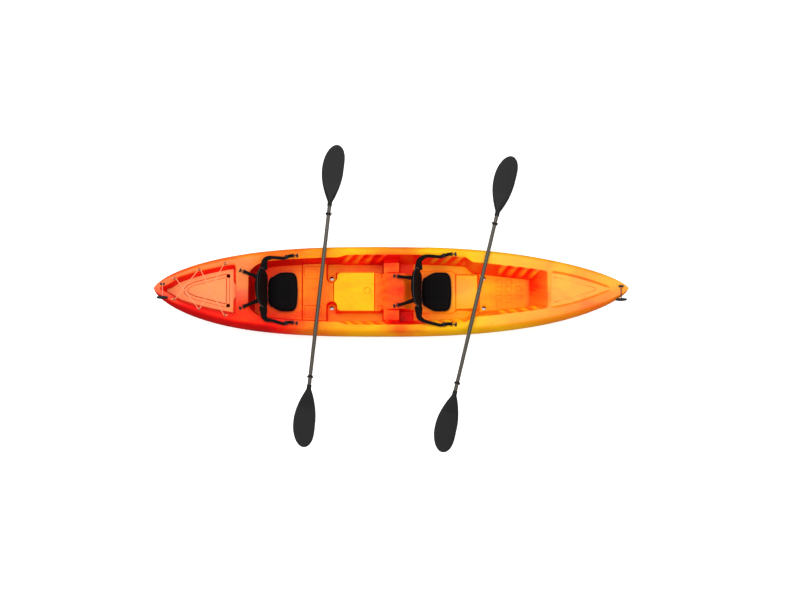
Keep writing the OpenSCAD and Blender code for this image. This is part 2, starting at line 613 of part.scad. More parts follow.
// The rope winds round the bar, then crosses the deck to the toggle
function rope_route(at) =
    let (y0 = -2, z0 = bar_h - loop_r, y1 = at[2], z1 = at[3])
    concat(
        [for (a = [0:30:270]) [0, loop_r * cos(a), bar_h + loop_r * sin(a)]],
        [for (f = [0.15, 0.3, 0.45, 0.6, 0.75, 0.86, 0.98])
            [0, mix(y0, y1, f), mix(z0, z1, ss(0.4, 0.85, f))]]);
module rope(at) {
    color("saddlebrown") on_deck(at[0], at[1]) tube(rope_route(at), rope_d, 10, [1, 0, 0]);
}
module grip(at) {
    r = grip_d / 2;
    color("black") on_deck(at[0], at[1]) translate([0, at[2], at[3]]) difference() {
        rotate([0, 90, 0]) rotate_extrude()
            polygon([[0, -grip_l / 2], [0.45 * r, -grip_l / 2], [0.62 * r, -0.47 * grip_l],
                [0.87 * r, -0.28 * grip_l],
                [r, -0.1 * grip_l], [r, 0.1 * grip_l], [0.87 * r, 0.28 * grip_l], [0.62 * r, 0.47 * grip_l],
                [0.45 * r, grip_l / 2], [0, grip_l / 2]]);
        translate([0, -1, 0]) rotate([-90, 0, 0]) cylinder(d = rope_d + 2 * fit_gap, h = grip_d);
    }
}

// Lacing of the tank well: deck loops on both gunwales, and two cords that cross twice
loop_bar = 4;
loop_in = cord_d / 2 + 1;
function gun_mid(x) = (crest(x) + w_top(x)) / 2;
lace_x = [-1690, -1500, -1300];
module deck_loop(x, side) {
    on_deck(x, side * gun_mid(x)) rotate([0, 0, 90])
        bar_eye(2 * loop_in + 2 * loop_bar + 8, 16, 2 * loop_in + loop_bar, eye_t + cord_d + 1 + loop_bar / 2, loop_bar);
}
module bungee_loops() {
    color("dimgray") for (x = lace_x, side = [-1, 1]) deck_loop(x, side);
}
// A cord's height where it lies in a loop
function lace_z(x) = z_rim(x) + fit_gap + eye_t + cord_d / 2 + 0.6;
function lace_pt(i, dx, dy, dz) = [lace_x[i] + dx, gun_mid(lace_x[i]) + dy, lace_z(lace_x[i]) + dz];
function flip(p) = [p.x, -p.y, p.z];
// One cord, from the first loop to the far middle loop and back; over lifts it clear of the other at the crossings
function lace_route(over) =
    let (a = lace_pt(0, -14, 0, 1), b = lace_pt(0, 0, 0, 0), c = lace_pt(0, 10, -5, 0.5), d = flip(lace_pt(1, -20, -22, 2)),
        e = flip(lace_pt(1, -11, -4, 0.5)), f = flip(lace_pt(1, 0, 0, 0)), g = flip(lace_pt(1, 11, -4, 0.5)),
        h = flip(lace_pt(1, 20, -22, 2)), i = lace_pt(2, -10, -10, 0.5), j = lace_pt(2, 0, 0, 0), k = lace_pt(2, 14, 2, 1),
        up = [0, 0, over])
    [a, b, c, mix(c, d, 0.2) + up * 0.5, mix(c, d, 0.4) + up, mix(c, d, 0.7) + up * 0.5, d, e, f, g, h,
        mix(h, i, 0.2) + up * 0.5, mix(h, i, 0.4) + up, mix(h, i, 0.7) + up * 0.5, i, j, k];
module bungee_a() {
    color("salmon") tube(lace_route(0), cord_d, 8, [0, 0, 1]);
}
module bungee_b() {
    color("salmon") mirror([0, 1, 0]) tube(lace_route(cord_d + 3), cord_d, 8, [0, 0, 1]);
}

module bow_anchor() { anchor(bow_at); }
module bow_rope() { rope(bow_at); }
module bow_grip() { grip(bow_at); }
module stern_anchor() { anchor(stern_at); }
module stern_rope() { rope(stern_at); }
module stern_grip() { grip(stern_at); }
module rear_pad() { seat_pad(rear_x); }
module rear_back() { backrest(rear_x); }
module rear_side_strap_l() { side_strap(rear_x, rear_eyes[0], rear_pulls[0], 1); }
module rear_side_strap_r() { side_strap(rear_x, rear_eyes[0], rear_pulls[0], -1); }
module rear_tail_strap_l() { tail_strap(rear_x, rear_eyes[1], rear_pulls[1], 1); }
module rear_tail_strap_r() { tail_strap(rear_x, rear_eyes[1], rear_pulls[1], -1); }
module rear_hooks() { hooks(rear_eyes, rear_pulls); }
module rear_sliders() { sliders(rear_x, rear_eyes[0], rear_pulls[0]); }
module front_pad() { seat_pad(front_x); }
module front_back() { backrest(front_x); }
module front_side_strap_l() { side_strap(front_x, front_eyes[0], front_pulls[0], 1); }
module front_side_strap_r() { side_strap(front_x, front_eyes[0], front_pulls[0], -1); }
module front_tail_strap_l() { tail_strap(front_x, front_eyes[1], front_pulls[1], 1); }
module front_tail_strap_r() { tail_strap(front_x, front_eyes[1], front_pulls[1], -1); }
module front_hooks() { hooks(front_eyes, front_pulls); }
module front_sliders() { sliders(front_x, front_eyes[0], front_pulls[0]); }
module rear_paddle_shaft() { shaft(rear_place); }
module rear_paddle_blade_l() { blade(rear_place, 1); }
module rear_paddle_blade_r() { blade(rear_place, -1); }
module rear_paddle_ring_l() { drip_ring(rear_place, 1); }
module rear_paddle_ring_r() { drip_ring(rear_place, -1); }
module front_paddle_shaft() { shaft(front_place); }
module front_paddle_blade_l() { blade(front_place, 1); }
module front_paddle_blade_r() { blade(front_place, -1); }
module front_paddle_ring_l() { drip_ring(front_place, 1); }
module front_paddle_ring_r() { drip_ring(front_place, -1); }

hull();
bow_anchor();
bow_rope();
bow_grip();
stern_anchor();
stern_rope();
stern_grip();
bungee_a();
bungee_b();
bungee_loops();
seat_eyes();
rear_pad();
rear_back();
rear_side_strap_l();
rear_side_strap_r();
rear_tail_strap_l();
rear_tail_strap_r();
rear_hooks();
rear_sliders();
front_pad();
front_back();
front_side_strap_l();
front_side_strap_r();
front_tail_strap_l();
front_tail_strap_r();
front_hooks();
front_sliders();
rear_paddle_shaft();
rear_paddle_blade_l();
rear_paddle_blade_r();
rear_paddle_ring_l();
rear_paddle_ring_r();
front_paddle_shaft();
front_paddle_blade_l();
front_paddle_blade_r();
front_paddle_ring_l();
front_paddle_ring_r();
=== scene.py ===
"""Sit-on-top tandem kayak: marbled hull, two padded seats, laced tank well, two paddles laid across."""
import math

import bmesh
import bpy
import numpy as np
from mathutils import Matrix, Vector
from mathutils.bvhtree import BVHTree


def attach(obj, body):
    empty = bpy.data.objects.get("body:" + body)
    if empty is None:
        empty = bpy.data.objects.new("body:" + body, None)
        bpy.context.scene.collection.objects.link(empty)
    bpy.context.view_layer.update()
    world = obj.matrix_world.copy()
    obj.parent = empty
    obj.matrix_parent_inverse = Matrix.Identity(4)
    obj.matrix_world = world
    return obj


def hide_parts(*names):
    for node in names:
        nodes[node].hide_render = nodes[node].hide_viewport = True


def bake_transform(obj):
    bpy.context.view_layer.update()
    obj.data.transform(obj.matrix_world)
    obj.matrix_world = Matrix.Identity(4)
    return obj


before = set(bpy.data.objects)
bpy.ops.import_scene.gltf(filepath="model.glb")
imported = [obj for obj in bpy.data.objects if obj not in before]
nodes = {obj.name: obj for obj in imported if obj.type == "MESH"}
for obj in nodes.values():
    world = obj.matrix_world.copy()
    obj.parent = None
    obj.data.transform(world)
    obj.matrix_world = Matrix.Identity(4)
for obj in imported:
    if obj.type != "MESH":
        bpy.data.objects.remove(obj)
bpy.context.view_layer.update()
scene = bpy.context.scene


# Camera. The picture looks down on the deck with the bow to the right, leaning a little to starboard, from
# far enough away that the sides stay parallel. The frame is 6.245 m wide at the height of the gunwale.
FRAME_WIDTH = 6.245
LENS, SENSOR = 120.0, 36.0
AIM = Vector((0.0687, -0.0846, 0.285))
TILT = math.radians(9.0)


def linked(name, data):
    """A new object of the scene."""
    made = bpy.data.objects.new(name, data)
    scene.collection.objects.link(made)
    return made


camera_data = bpy.data.cameras.new("camera")
camera_data.lens, camera_data.sensor_width, camera_data.clip_end = LENS, SENSOR, 200.0
camera = linked("camera", camera_data)
camera.location = AIM + FRAME_WIDTH * LENS / SENSOR * Vector((0, -math.sin(TILT), math.cos(TILT)))
camera.rotation_euler = (TILT, 0, 0)
scene.camera = camera
scene.view_settings.view_transform = "Standard"


# Studio. A pale floor under the keel that throws little light back at the sides, a white surround, and one
# wide soft lamp beyond the port side with a weaker one opposite.
def srgb(code):
    """sRGB hex to linear RGBA."""
    parts = [int(code[i:i + 2], 16) / 255 for i in (1, 3, 5)]
    return tuple(c / 12.92 if c <= 0.04045 else ((c + 0.055) / 1.055) ** 2.4 for c in parts) + (1.0,)


def put(tree, kind, inputs=None, **settings):
    """Adds a node, sets its settings, and links or sets its inputs."""
    made = tree.nodes.new(kind)
    for key, value in settings.items():
        setattr(made, key, value)
    for key, value in (inputs or {}).items():
        if isinstance(value, bpy.types.NodeSocket):
            tree.links.new(value, made.inputs[key])
        else:
            made.inputs[key].default_value = value
    return made


def maths(tree, operation, *values, **settings):
    """The result of a Math node."""
    return put(tree, "ShaderNodeMath", dict(enumerate(values)), operation=operation, **settings).outputs[0]


def material(name):
    made = bpy.data.materials.new(name)
    made.use_nodes = True
    made.node_tree.nodes.clear()
    return made, made.node_tree


world = bpy.data.worlds.new("studio")
scene.world = world
world.use_nodes = True
sky = world.node_tree
sky.nodes.clear()
rays = put(sky, "ShaderNodeLightPath").outputs
seen = maths(sky, "MAXIMUM", rays["Is Camera Ray"], rays["Is Transmission Ray"])
ambient = put(sky, "ShaderNodeBackground", {"Color": srgb("#ffffff"), "Strength": 0.95})
white = put(sky, "ShaderNodeBackground", {"Color": srgb("#ffffff"), "Strength": 1.0})
pick = put(sky, "ShaderNodeMixShader", {0: seen, 1: ambient.outputs[0], 2: white.outputs[0]})
put(sky, "ShaderNodeOutputWorld", {"Surface": pick.outputs[0]})

FLOOR_HALF, FLOOR_Z = 60.0, -0.0015
painted_floor, tree = material("matt_white_floor")
seen = put(tree, "ShaderNodeLightPath").outputs["Is Camera Ray"]
matt = put(tree, "ShaderNodeBsdfDiffuse", {"Color": srgb("#f4f4f2")})
lift = put(tree, "ShaderNodeEmission", {"Color": srgb("#ffffff"), "Strength": 0.5})
both = put(tree, "ShaderNodeAddShader", {0: matt.outputs[0], 1: lift.outputs[0]})
grey = put(tree, "ShaderNodeBsdfDiffuse", {"Color": srgb("#6a6a68")})
pick = put(tree, "ShaderNodeMixShader", {0: seen, 1: grey.outputs[0], 2: both.outputs[0]})
put(tree, "ShaderNodeOutputMaterial", {"Surface": pick.outputs[0]})
floor_mesh = bpy.data.meshes.new("floor")
corners = ((-1, -1), (1, -1), (1, 1), (-1, 1))
floor_mesh.from_pydata([(x * FLOOR_HALF, y * FLOOR_HALF, FLOOR_Z) for x, y in corners], [], [(0, 1, 2, 3)])
floor_mesh.materials.append(painted_floor)
floor = linked("floor", floor_mesh)


def area_lamp(name, place, aim, size, power):
    data = bpy.data.lights.new(name, "AREA")
    data.shape = "RECTANGLE"
    data.size, data.size_y = size
    data.energy = power
    lamp = linked(name, data)
    lamp.location = place
    lamp.rotation_euler = (Vector(aim) - Vector(place)).to_track_quat("-Z", "Y").to_euler()


area_lamp("key_softbox", (-0.4, 2.6, 5.6), (0, 0, 0.1), (7.0, 4.0), 150)
area_lamp("fill_softbox", (1.5, -5.5, 5.0), (0, 0, 0.1), (6.0, 3.0), 50)


# Hull. One rotomoulded polyethylene skin: a crowned gunwale round the cockpit, a tank well astern, a
# recessed bow deck, moulded foot braces, seat pans and leg channels, and tracking grooves underneath.
MM = 0.001
HALF_L, BEAM, RIM_Z = 1850.0, 710.0, 285.0
SHEER_X, STERN_RISE, BOW_RISE = 1250.0, 50.0, 60.0
ROCKER_X, KEEL_RISE, FOREFOOT_L, FOREFOOT_H = 1000.0, 225.0, 40.0, 26.0
WELL_X, PAN_X, PAN_END_X, LEG_X, MID_X, STEP_X = -1118.0, -1071.0, -699.0, -499.0, -454.0, -124.0
BRIDGE_X0, BRIDGE_X1, FRONT_PAN_X, THIGH_X, FLOOR_X = -64.0, 67.0, 160.0, 506.0, 686.0
BULK_X0, BULK_X1, BOW_X, BOW_END = 1083.0, 1228.0, 1240.0, HALF_L - 127.0
TANK_X, TANK_END, TANK_Z, TANK_REACH, TANK_RUN = -1211.0, 48.0 - HALF_L, RIM_Z - 65.0, 0.86, 27.0
RIM_W, WALL_W, RIM_FLAT = (96, 75, 78, 114, 106), (28, 55, 55, 69, 22), 22.0
SEAT_Z, LEG_Z, FOOT_Z, MID_Z, HUMP_Z, BRIDGE_Z = 140.0, 152.0, 95.0, 166.0, 205.0, 188.0
POCKET_Z, FRONT_Z, BOW_D, MID_HW, HUMP_HW = 115.0, 100.0, 14.0, 157.0, 146.0
SHOULDER_W, GROOVE_D, TANK_R, WELL_R, WELL_HW, LIP = 50.0, 12.0, 34.0, 150.0, 96.0, 6.0
BRACE_D, BRACE_P, BRACE_SKEW, BRACE_PEAK = 17.0, 86.0, 70.0, 0.72
BRACES = ((-400, -370, -40, -10), (290, 320, 560, 590), (830, 850, 1150, 1190))
SCUPPER_D, SCUPPER_Y, HOLLOW_R = 32.0, 118.0, (30.0, 44.0)
SCUPPERS = ((-1277.0, TANK_Z - 8), (-468.0, FOOT_Z), (729.0, FRONT_Z))


def ramp(a, b, t):
    return np.clip((t - a) / (b - a), 0, 1)


def ss(a, b, t):
    k = ramp(a, b, t)
    return k * k * (3 - 2 * k)


def within(a, b, c, d, t):
    """Rises from a to b and falls from c to d."""
    return ss(a, b, t) * (1 - ss(c, d, t))


def mix(a, b, k):
    return a + (b - a) * k


EASE = 6.0


def staged(x, level, *changes):
    """Goes to each next level between two stations, or over EASE each way of a single one."""
    total = level
    for new, *at in changes:
        a, b = at if len(at) == 2 else (at[0] - EASE, at[0] + EASE)
        total, level = total + (new - level) * ss(a, b, x), new
    return total


def half_b(x):
    u = 0.9995 * np.minimum(1, abs(x) / HALF_L)
    return BEAM / 2 * np.where(x < 0, (1 - u ** 3) ** 0.65, (1 - u ** 2.3) ** 0.68)


def z_rim(x):
    return RIM_Z + np.where(x < 0, STERN_RISE, BOW_RISE) * ramp(SHEER_X, HALF_L, abs(x)) ** 1.6


def z_keel(x):
    forefoot = ramp(HALF_L - FOREFOOT_L, HALF_L, abs(x))
    return KEEL_RISE * ramp(ROCKER_X, HALF_L, abs(x)) ** 2.4 + FOREFOOT_H * (1 - np.sqrt(1 - forefoot ** 2))


def crest(x):
    return half_b(x) - np.minimum(SHOULDER_W, 0.3 * half_b(x))


def stretch(w, x):
    """Widths beside the rear seat, centre seat, front seat and front footwell, run into one another."""
    return staged(x, w[0], (w[1], -430, -330), (w[2], 150, 300), (w[3], 570, 650))


def gunwale(x):
    return stretch(RIM_W, x) + (RIM_W[4] - RIM_W[3]) * ss(820, BULK_X1, x)


def tank_edge(x):
    k = ramp(TANK_X - TANK_R, TANK_X, x)
    side = mix(8, TANK_REACH * crest(x), ramp(TANK_END, TANK_END + 150, x) ** 0.8)
    return side - TANK_R * (1 - np.sqrt(1 - k * k))


def cockpit_edge(x):
    w, k = half_b(x) - gunwale(x), ramp(WELL_X + WELL_R, WELL_X, x)
    return w - (w - WELL_HW) * (1 - np.sqrt(1 - k * k))


def bow_edge(x):
    return mix(half_b(BOW_X) - gunwale(BOW_X), 6, ramp(BOW_X, BOW_END, x) ** 1.5)


def w_top(x):
    inner = np.where(x < TANK_X, tank_edge(x),
                     np.where(x < WELL_X, mix(tank_edge(TANK_X), WELL_HW, ss(TANK_X, WELL_X, x)),
                              np.where(x < BOW_X, cockpit_edge(x), bow_edge(x))))
    return np.minimum(crest(x) - np.minimum(RIM_FLAT, 0.14 * crest(x)), inner)


def w_floor(x):
    run = stretch(WALL_W, x) + (WALL_W[4] - WALL_W[3]) * ss(BULK_X0, BOW_X, x)
    return np.maximum(0.4 * w_top(x), w_top(x) - run)


def seat_corner(v):
    """How far the rear edge of the centre seat curves forward towards its corners."""
    return 74 * (1 - np.sqrt(1 - ramp(70, MID_HW, v) ** 2))


def z_mid(x, v=0.0):
    rear = MID_X + seat_corner(v)
    aft = staged(x, SEAT_Z, (LEG_Z, PAN_END_X), (MID_Z, rear), (LEG_Z, STEP_X - 12, STEP_X))
    fore = staged(x, LEG_Z, (HUMP_Z, STEP_X, 0), (SEAT_Z, 100, FRONT_PAN_X), (LEG_Z, THIGH_X),
                  (FRONT_Z, FLOOR_X - 14, FLOOR_X + 14))
    return np.where(x < STEP_X, aft, fore)


def z_side(x):
    aft = mix(z_mid(x), FOOT_Z, ss(LEG_X - EASE, LEG_X + EASE, x))
    fore = staged(x, FOOT_Z, (BRIDGE_Z, BRIDGE_X0), (POCKET_Z, BRIDGE_X1),
                  (SEAT_Z - 8, FRONT_PAN_X, FRONT_PAN_X + 16), (FRONT_Z, THIGH_X + 40, FLOOR_X))
    return np.where(x < BRIDGE_X0 - EASE, aft, fore)


def side_edge(x):
    return (MID_HW - (MID_HW - HUMP_HW) * ss(-100, BRIDGE_X0, x) + 22 * ss(FRONT_PAN_X, 260, x)
            - 30 * ss(THIGH_X - 40, THIGH_X + 20, x))


def z_well(x, v):
    e = side_edge(x)
    z = mix(z_mid(x, v), z_side(x), ss(e - 7, e + 7, v))
    from_scupper = np.hypot(x - SCUPPERS[1][0], np.minimum(v - SCUPPER_Y, 0))
    return mix(z, FOOT_Z, 1 - ss(*HOLLOW_R, from_scupper))


def z_floor(x, v):
    heel = TANK_X - TANK_RUN + 20 * (1 - ss(45, 80, v))
    tank = mix(z_rim(x), TANK_Z, within(TANK_END, TANK_END + 50, heel, TANK_X, x))
    well = mix(mix(z_rim(x), z_well(x, v), ss(WELL_X, PAN_X, x)), z_rim(x), ramp(BULK_X0, BULK_X1, x))
    bow = z_rim(x) - BOW_D * within(BOW_X - EASE, BOW_X + 14, BOW_END - 40, BOW_END, x)
    return np.where(x < WELL_X, tank, np.where(x < BOW_X - EASE, well, bow))


def brace(x, t):
    """How far the ridges that feet push on stand out, t of the way up the wall."""
    zone = sum(within(*ends, x) for ends in BRACES)
    f = ((x - BRACE_SKEW * t) / BRACE_P) % 1.0
    tooth = np.where(f < BRACE_PEAK, f / BRACE_PEAK, (1 - f) / (1 - BRACE_PEAK))
    return BRACE_D * zone * np.sin(np.pi * t) * ss(0, 1, tooth)


def loft(rings):
    """A closed skin over rings of points, with a fan on each end."""
    n, m = len(rings), len(rings[0])
    index = np.arange(n * m).reshape(n, m)
    beside = np.roll(index, -1, axis=1)
    faces = np.stack([index[:-1], index[1:], beside[1:], beside[:-1]], axis=2).reshape(-1, 4).tolist()
    faces += [(n * m, index[0, j], beside[0, j]) for j in range(m)]
    faces += [(n * m + 1, beside[-1, j], index[-1, j]) for j in range(m)]
    return np.vstack([np.vstack(rings), rings[0].mean(0), rings[-1].mean(0)]), faces


# Rows of points along the hull: close together at the tips, round the middle scuppers and at the steps
FINE_X0, FINE_X1, ROW_GAP = -516.0, -386.0, 0.8
STEPS = (PAN_END_X, STEP_X, BRIDGE_X0, BRIDGE_X1, THIGH_X)
stations = np.unique(np.concatenate([
    -HALF_L + np.array([0, 1.5, 4, 8, 12, 16, 24, 32, 40]), np.linspace(TANK_END, TANK_X - TANK_R, 58),
    np.linspace(TANK_X - TANK_R, WELL_X, 24), np.linspace(WELL_X, FINE_X0, 79),
    np.linspace(FINE_X0, FINE_X1, 53), np.linspace(FINE_X1, BOW_X + 14, 216),
    np.add.outer(STEPS, (-EASE, 0, EASE)).ravel(),
    np.linspace(BOW_X + 14, BOW_END, 48), np.linspace(BOW_END, HALF_L - 16, 16),
    HALF_L - np.array([12, 8, 4, 1.5, 0])]))
stations = stations[np.append(True, np.diff(stations) > ROW_GAP)]
x = stations[:, None]
wf, wt, zr, zk, b, c = w_floor(x), w_top(x), z_rim(x), z_keel(x), half_b(x), crest(x)
zm = mix(zk, zr, 0.53)
# Points round half a section: floor, wall, rim, side, bilge and keel, closest where the floor's middle ends
edge = np.clip(side_edge(x), 0.4 * wf, 0.8 * wf)
band = np.minimum(11, 0.07 * wf)
inner = np.concatenate([np.arange(8) / 20, 0.4 + 0.6 * np.arange(22) / 22])
floor_y = np.hstack([(edge - band) * inner, edge - band + 2 * band * np.arange(10) / 10,
                     edge + band + (wf - edge - band) * np.arange(6) / 6])
up = np.linspace(0, 1, 12)[None, :]
foot = z_floor(x, wf)
lip = LIP * ss(2, 24, zr - foot)
wall_y = mix(wf, wt, up) - brace(x, up)
wall_z = mix(foot, zr - lip, 0.4 * up + 0.6 * ss(0, 1, up))
out = np.linspace(0, 1, 7)[None, 1:]
rim_y = mix(wt, c, out)
rim_z = zr - lip * (1 - ss(0, 0.62, out))
turn = np.linspace(0, 90, 9)[None, 1:] * math.pi / 180
scoop = 8 * within(-60, 10, 230, 300, x) * np.sin(np.pi * ramp(0.35, 1.35, turn)) ** 2
side_y = c + (b - c) * np.sin(turn) - scoop
side_z = zm + (zr - zm) * np.cos(turn)
bilge_y = 0.48 * b + 0.52 * b * np.cos(turn)
bilge_z = mix(zm, zk, np.sin(turn))
under = np.array([[0.44, 0.4, 0.35, 0.29, 0.23, 0.17, 0.08, 0.0]])
groove = GROOVE_D * (1 - ss(ROCKER_X, HALF_L - 200, abs(x)))
under_z = zk + groove * (1 - ss(0, 0.11, abs(under - 0.29)))
half = np.stack([np.hstack([floor_y, wall_y, rim_y, side_y, bilge_y, under * b]),
                 np.hstack([z_floor(x, floor_y), wall_z, rim_z, side_z, bilge_z, under_z])], axis=2)
far = np.concatenate([np.repeat(x[:, :, None], half.shape[1], 1), half], axis=2)
near = far[:, -2:0:-1] * np.array([1, -1, 1])
points, faces = loft(np.concatenate([far, near], axis=1))


def mesh_object(name, verts, faces, cover, uvs=None):
    """A smooth piece from points in metres, its faces turned outwards, with a UV for each corner if given."""
    mesh = bpy.data.meshes.new(name)
    mesh.from_pydata([tuple(map(float, p)) for p in verts], [], [tuple(map(int, f)) for f in faces])
    if uvs is not None:
        mesh.uv_layers.new(name="run").data.foreach_set("uv", np.asarray(uvs, np.float32).ravel())
    turned = bmesh.new()
    turned.from_mesh(mesh)
    bmesh.ops.recalc_face_normals(turned, faces=turned.faces)
    turned.to_mesh(mesh)
    turned.free()
    mesh.shade_smooth()
    mesh.materials.append(cover)
    return linked(name, mesh)


def from_bmesh(name, made):
    mesh = bpy.data.meshes.new(name)
    made.to_mesh(mesh)
    made.free()
    return linked(name, mesh)


def settle(made):
    """Turns an object's modifiers into a plain mesh."""
    graph = bpy.context.evaluated_depsgraph_get()
    mesh = bpy.data.meshes.new_from_object(made.evaluated_get(graph))
    made.modifiers.clear()
    made.data = mesh
    return made


def on_object(tree):
    return put(tree, "ShaderNodeTexCoord").outputs["Object"]


def noise(tree, where, across, detail, **more):
    """Noise whose lumps are that many metres across."""
    inputs = {"Vector": where, "Scale": 1 / across, "Detail": detail, **more}
    return put(tree, "ShaderNodeTexNoise", inputs).outputs["Fac"]


def rescale(tree, value, low, high, new_low=0.0, new_high=1.0):
    """A value from low to high, brought to a new range."""
    inputs = {"Value": value, "From Min": low, "From Max": high, "To Min": new_low, "To Max": new_high}
    return put(tree, "ShaderNodeMapRange", inputs).outputs[0]


def two_tone(tree, share, code, fleck):
    """One colour running into another; 6 and 7 are the Mix node's colour sockets."""
    return put(tree, "ShaderNodeMix", {0: share, 6: srgb(code), 7: srgb(fleck)}, data_type="RGBA").outputs[2]


def dented(tree, height, strength, depth):
    return put(tree, "ShaderNodeBump", {"Height": height, "Strength": strength, "Distance": depth}).outputs[0]


def surface(tree, inputs):
    """Ends a material in its shader."""
    shader = put(tree, "ShaderNodeBsdfPrincipled", inputs)
    put(tree, "ShaderNodeOutputMaterial", {"Surface": shader.outputs[0]})


# Rotomoulded linear polyethylene, tinted in the mould: satin, slightly waxy, red powder astern running
# through orange to yellow amidships, in soft marbled clouds about 0.4 m across with streaks inside them.
hull_skin, tree = material("rotomoulded_polyethylene")
place = on_object(tree)
# Two attributes from the hull: the powder's colour with painted shade laid into it on the starboard side, the
# walls and the recesses, and a painted highlight on flat floors and up-facing rims
tint_and_shade, bloom = [put(tree, "ShaderNodeAttribute", attribute_name=n).outputs["Fac"] for n in ("resin", "bloom")]
drawn_out = put(tree, "ShaderNodeMapping", {"Vector": place, "Scale": (1.0, 1.7, 1.4)}).outputs[0]
cloud = noise(tree, drawn_out, 0.4, 3.0, Roughness=0.55, Distortion=0.9)
streak = noise(tree, drawn_out, 0.07, 4.0, Roughness=0.6, Distortion=1.6)
marbling = maths(tree, "ADD", rescale(tree, cloud, 0.3, 0.7, -0.12, 0.12),
                 rescale(tree, streak, 0.3, 0.7, -0.035, 0.035))
shade = put(tree, "ShaderNodeValToRGB", {"Fac": maths(tree, "ADD", tint_and_shade, marbling, use_clamp=True)})
stops = shade.color_ramp.elements
stops[0].color, stops[1].color = srgb("#cc0302"), srgb("#fdbd08")
for at, code in ((0.1, "#f60602"), (0.25, "#f63206"), (0.5, "#f96e10"), (0.75, "#fb970c")):
    stops.new(at).color = srgb(code)
# Pale salmon mixed in by the second attribute: a painted highlight
paler = put(tree, "ShaderNodeMix", {0: bloom, 6: shade.outputs["Color"], 7: srgb("#f8a873")}, data_type="RGBA")
# Orange peel left by the mould, about 5 mm across
peel = noise(tree, place, 0.005, 1.0)
surface(tree, {"Base Color": paler.outputs[2], "Roughness": rescale(tree, streak, 0.0, 1.0, 0.36, 0.5),
               "Normal": dented(tree, peel, 0.05, 0.0008), "IOR": 1.51, "Specular IOR Level": 0.1})

hull = mesh_object("hull_moulding", points * MM, faces, hull_skin)
ARC, CREASE = 9, math.radians(42)


def outline_of(corners, r):
    """Points that keep r outside corners listed anticlockwise, with an arc of ARC points at each."""
    out = []
    for i, (cx, cy) in enumerate(corners):
        (ax, ay), (bx, by) = corners[i - 1], corners[(i + 1) % len(corners)]
        a0, a1 = math.atan2(ax - cx, cy - ay), math.atan2(cx - bx, by - cy)
        for a in np.linspace(a0, a1 + 2 * math.pi * (a1 < a0), ARC):
            out.append((cx + r * math.cos(a), cy + r * math.sin(a)))
    return out


def box_of(cx, cy, hx, hy):
    return [(cx - hx, cy - hy), (cx + hx, cy - hy), (cx + hx, cy + hy), (cx - hx, cy + hy)]


def add_mark(into, corners, r, deep, half=None, draft=0.5, trim=0):
    """
    Adds the tool for a mark that deep in the floor, with sloping walls. With half it is a groove that wide
    each way, and trim leaves that many points off each end of it.
    """
    levels = []
    for z, grow in ((-deep, -draft * deep), (2.0, draft * 2.0)):
        sizes = [r + grow] if half is None else [r + half + grow, r - half - grow]
        levels.append([[into.verts.new((a * MM, b * MM, (float(z_floor(a, abs(b))) + z) * MM))
                        for a, b in outline_of(corners, size)[trim:ARC * len(corners) - trim]]
                       for size in sizes])
    low, high = levels
    steps = range(1 if trim else 0, len(low[0]))
    for a, b in zip(low, high):
        for j in steps:
            into.faces.new((a[j - 1], a[j], b[j], b[j - 1]))
    for loops in levels:
        if half is None:
            into.faces.new(loops[0])
        else:
            for j in steps:
                into.faces.new((loops[0][j - 1], loops[0][j], loops[1][j], loops[1][j - 1]))
    if trim:
        for j in (0, -1):
            into.faces.new((low[0][j], low[1][j], high[1][j], high[0][j]))


def cut(made, name, tools):
    bmesh.ops.triangulate(tools, faces=[f for f in tools.faces if len(f.verts) > 4])
    bmesh.ops.recalc_face_normals(tools, faces=tools.faces)
    tool = from_bmesh(name, tools)
    step = made.modifiers.new(name, "BOOLEAN")
    step.object, step.operation, step.solver = tool, "DIFFERENCE", "MANIFOLD"
    settle(made)
    bpy.data.objects.remove(tool)


# Shallow marks moulded into the floors: the drain gutter round the tank well's panel, the scuppers' dishes,
# heel rests, a drink dish and two ovals on the centre seat, foot treads, and the line round the bow deck
marks = bmesh.new()
apex = [(-1572 - 14 * math.cos(a), 14 * math.sin(a)) for a in np.radians((60, 30, 0, -30, -60))]
gutter = apex + [(-1532, -34.5), (-1301, -94.3), (-1301, 94.3), (-1532, 34.5)]
add_mark(marks, gutter, 22, 8, half=15.5, draft=0.55)
add_mark(marks, box_of(-189, 8, 1, 1), 26, 4.5)
add_mark(marks, [(1268, -88), (1580, 0), (1268, 88)], 14, 4, half=2.5, trim=8)
for side in (-1, 1):
    for sx, _ in SCUPPERS[1:]:
        add_mark(marks, box_of(sx, side * SCUPPER_Y, 0.5, 0.5), 27, 9, draft=1.2)
    add_mark(marks, box_of(-617, side * 154, 48, 30), 20, 5)
    add_mark(marks, box_of(-91, side * 125, 9, 6), 12, 6)
    for tx, rows_ in ((850, (34, 88)), (925, (34, 88)), (1000, (34,))):
        for ty in rows_:
            add_mark(marks, box_of(tx, side * ty, 20, 13), 6, 4)
cut(hull, "moulded_marks", marks)
# The scuppers go right through
bores = bmesh.new()
for sx, top in SCUPPERS:
    for side in (-1, 1):
        made = bmesh.ops.create_cone(bores, cap_ends=True, segments=48, radius1=SCUPPER_D / 2 * MM,
                                     radius2=SCUPPER_D / 2 * MM, depth=(top + 40) * MM)
        bmesh.ops.translate(bores, verts=made["verts"],
                            vec=(sx * MM, side * SCUPPER_Y * MM, (top / 2 - 10) * MM))
cut(hull, "scupper_bores", bores)
hull.data.shade_smooth()
hull.data.set_sharp_from_angle(angle=CREASE)
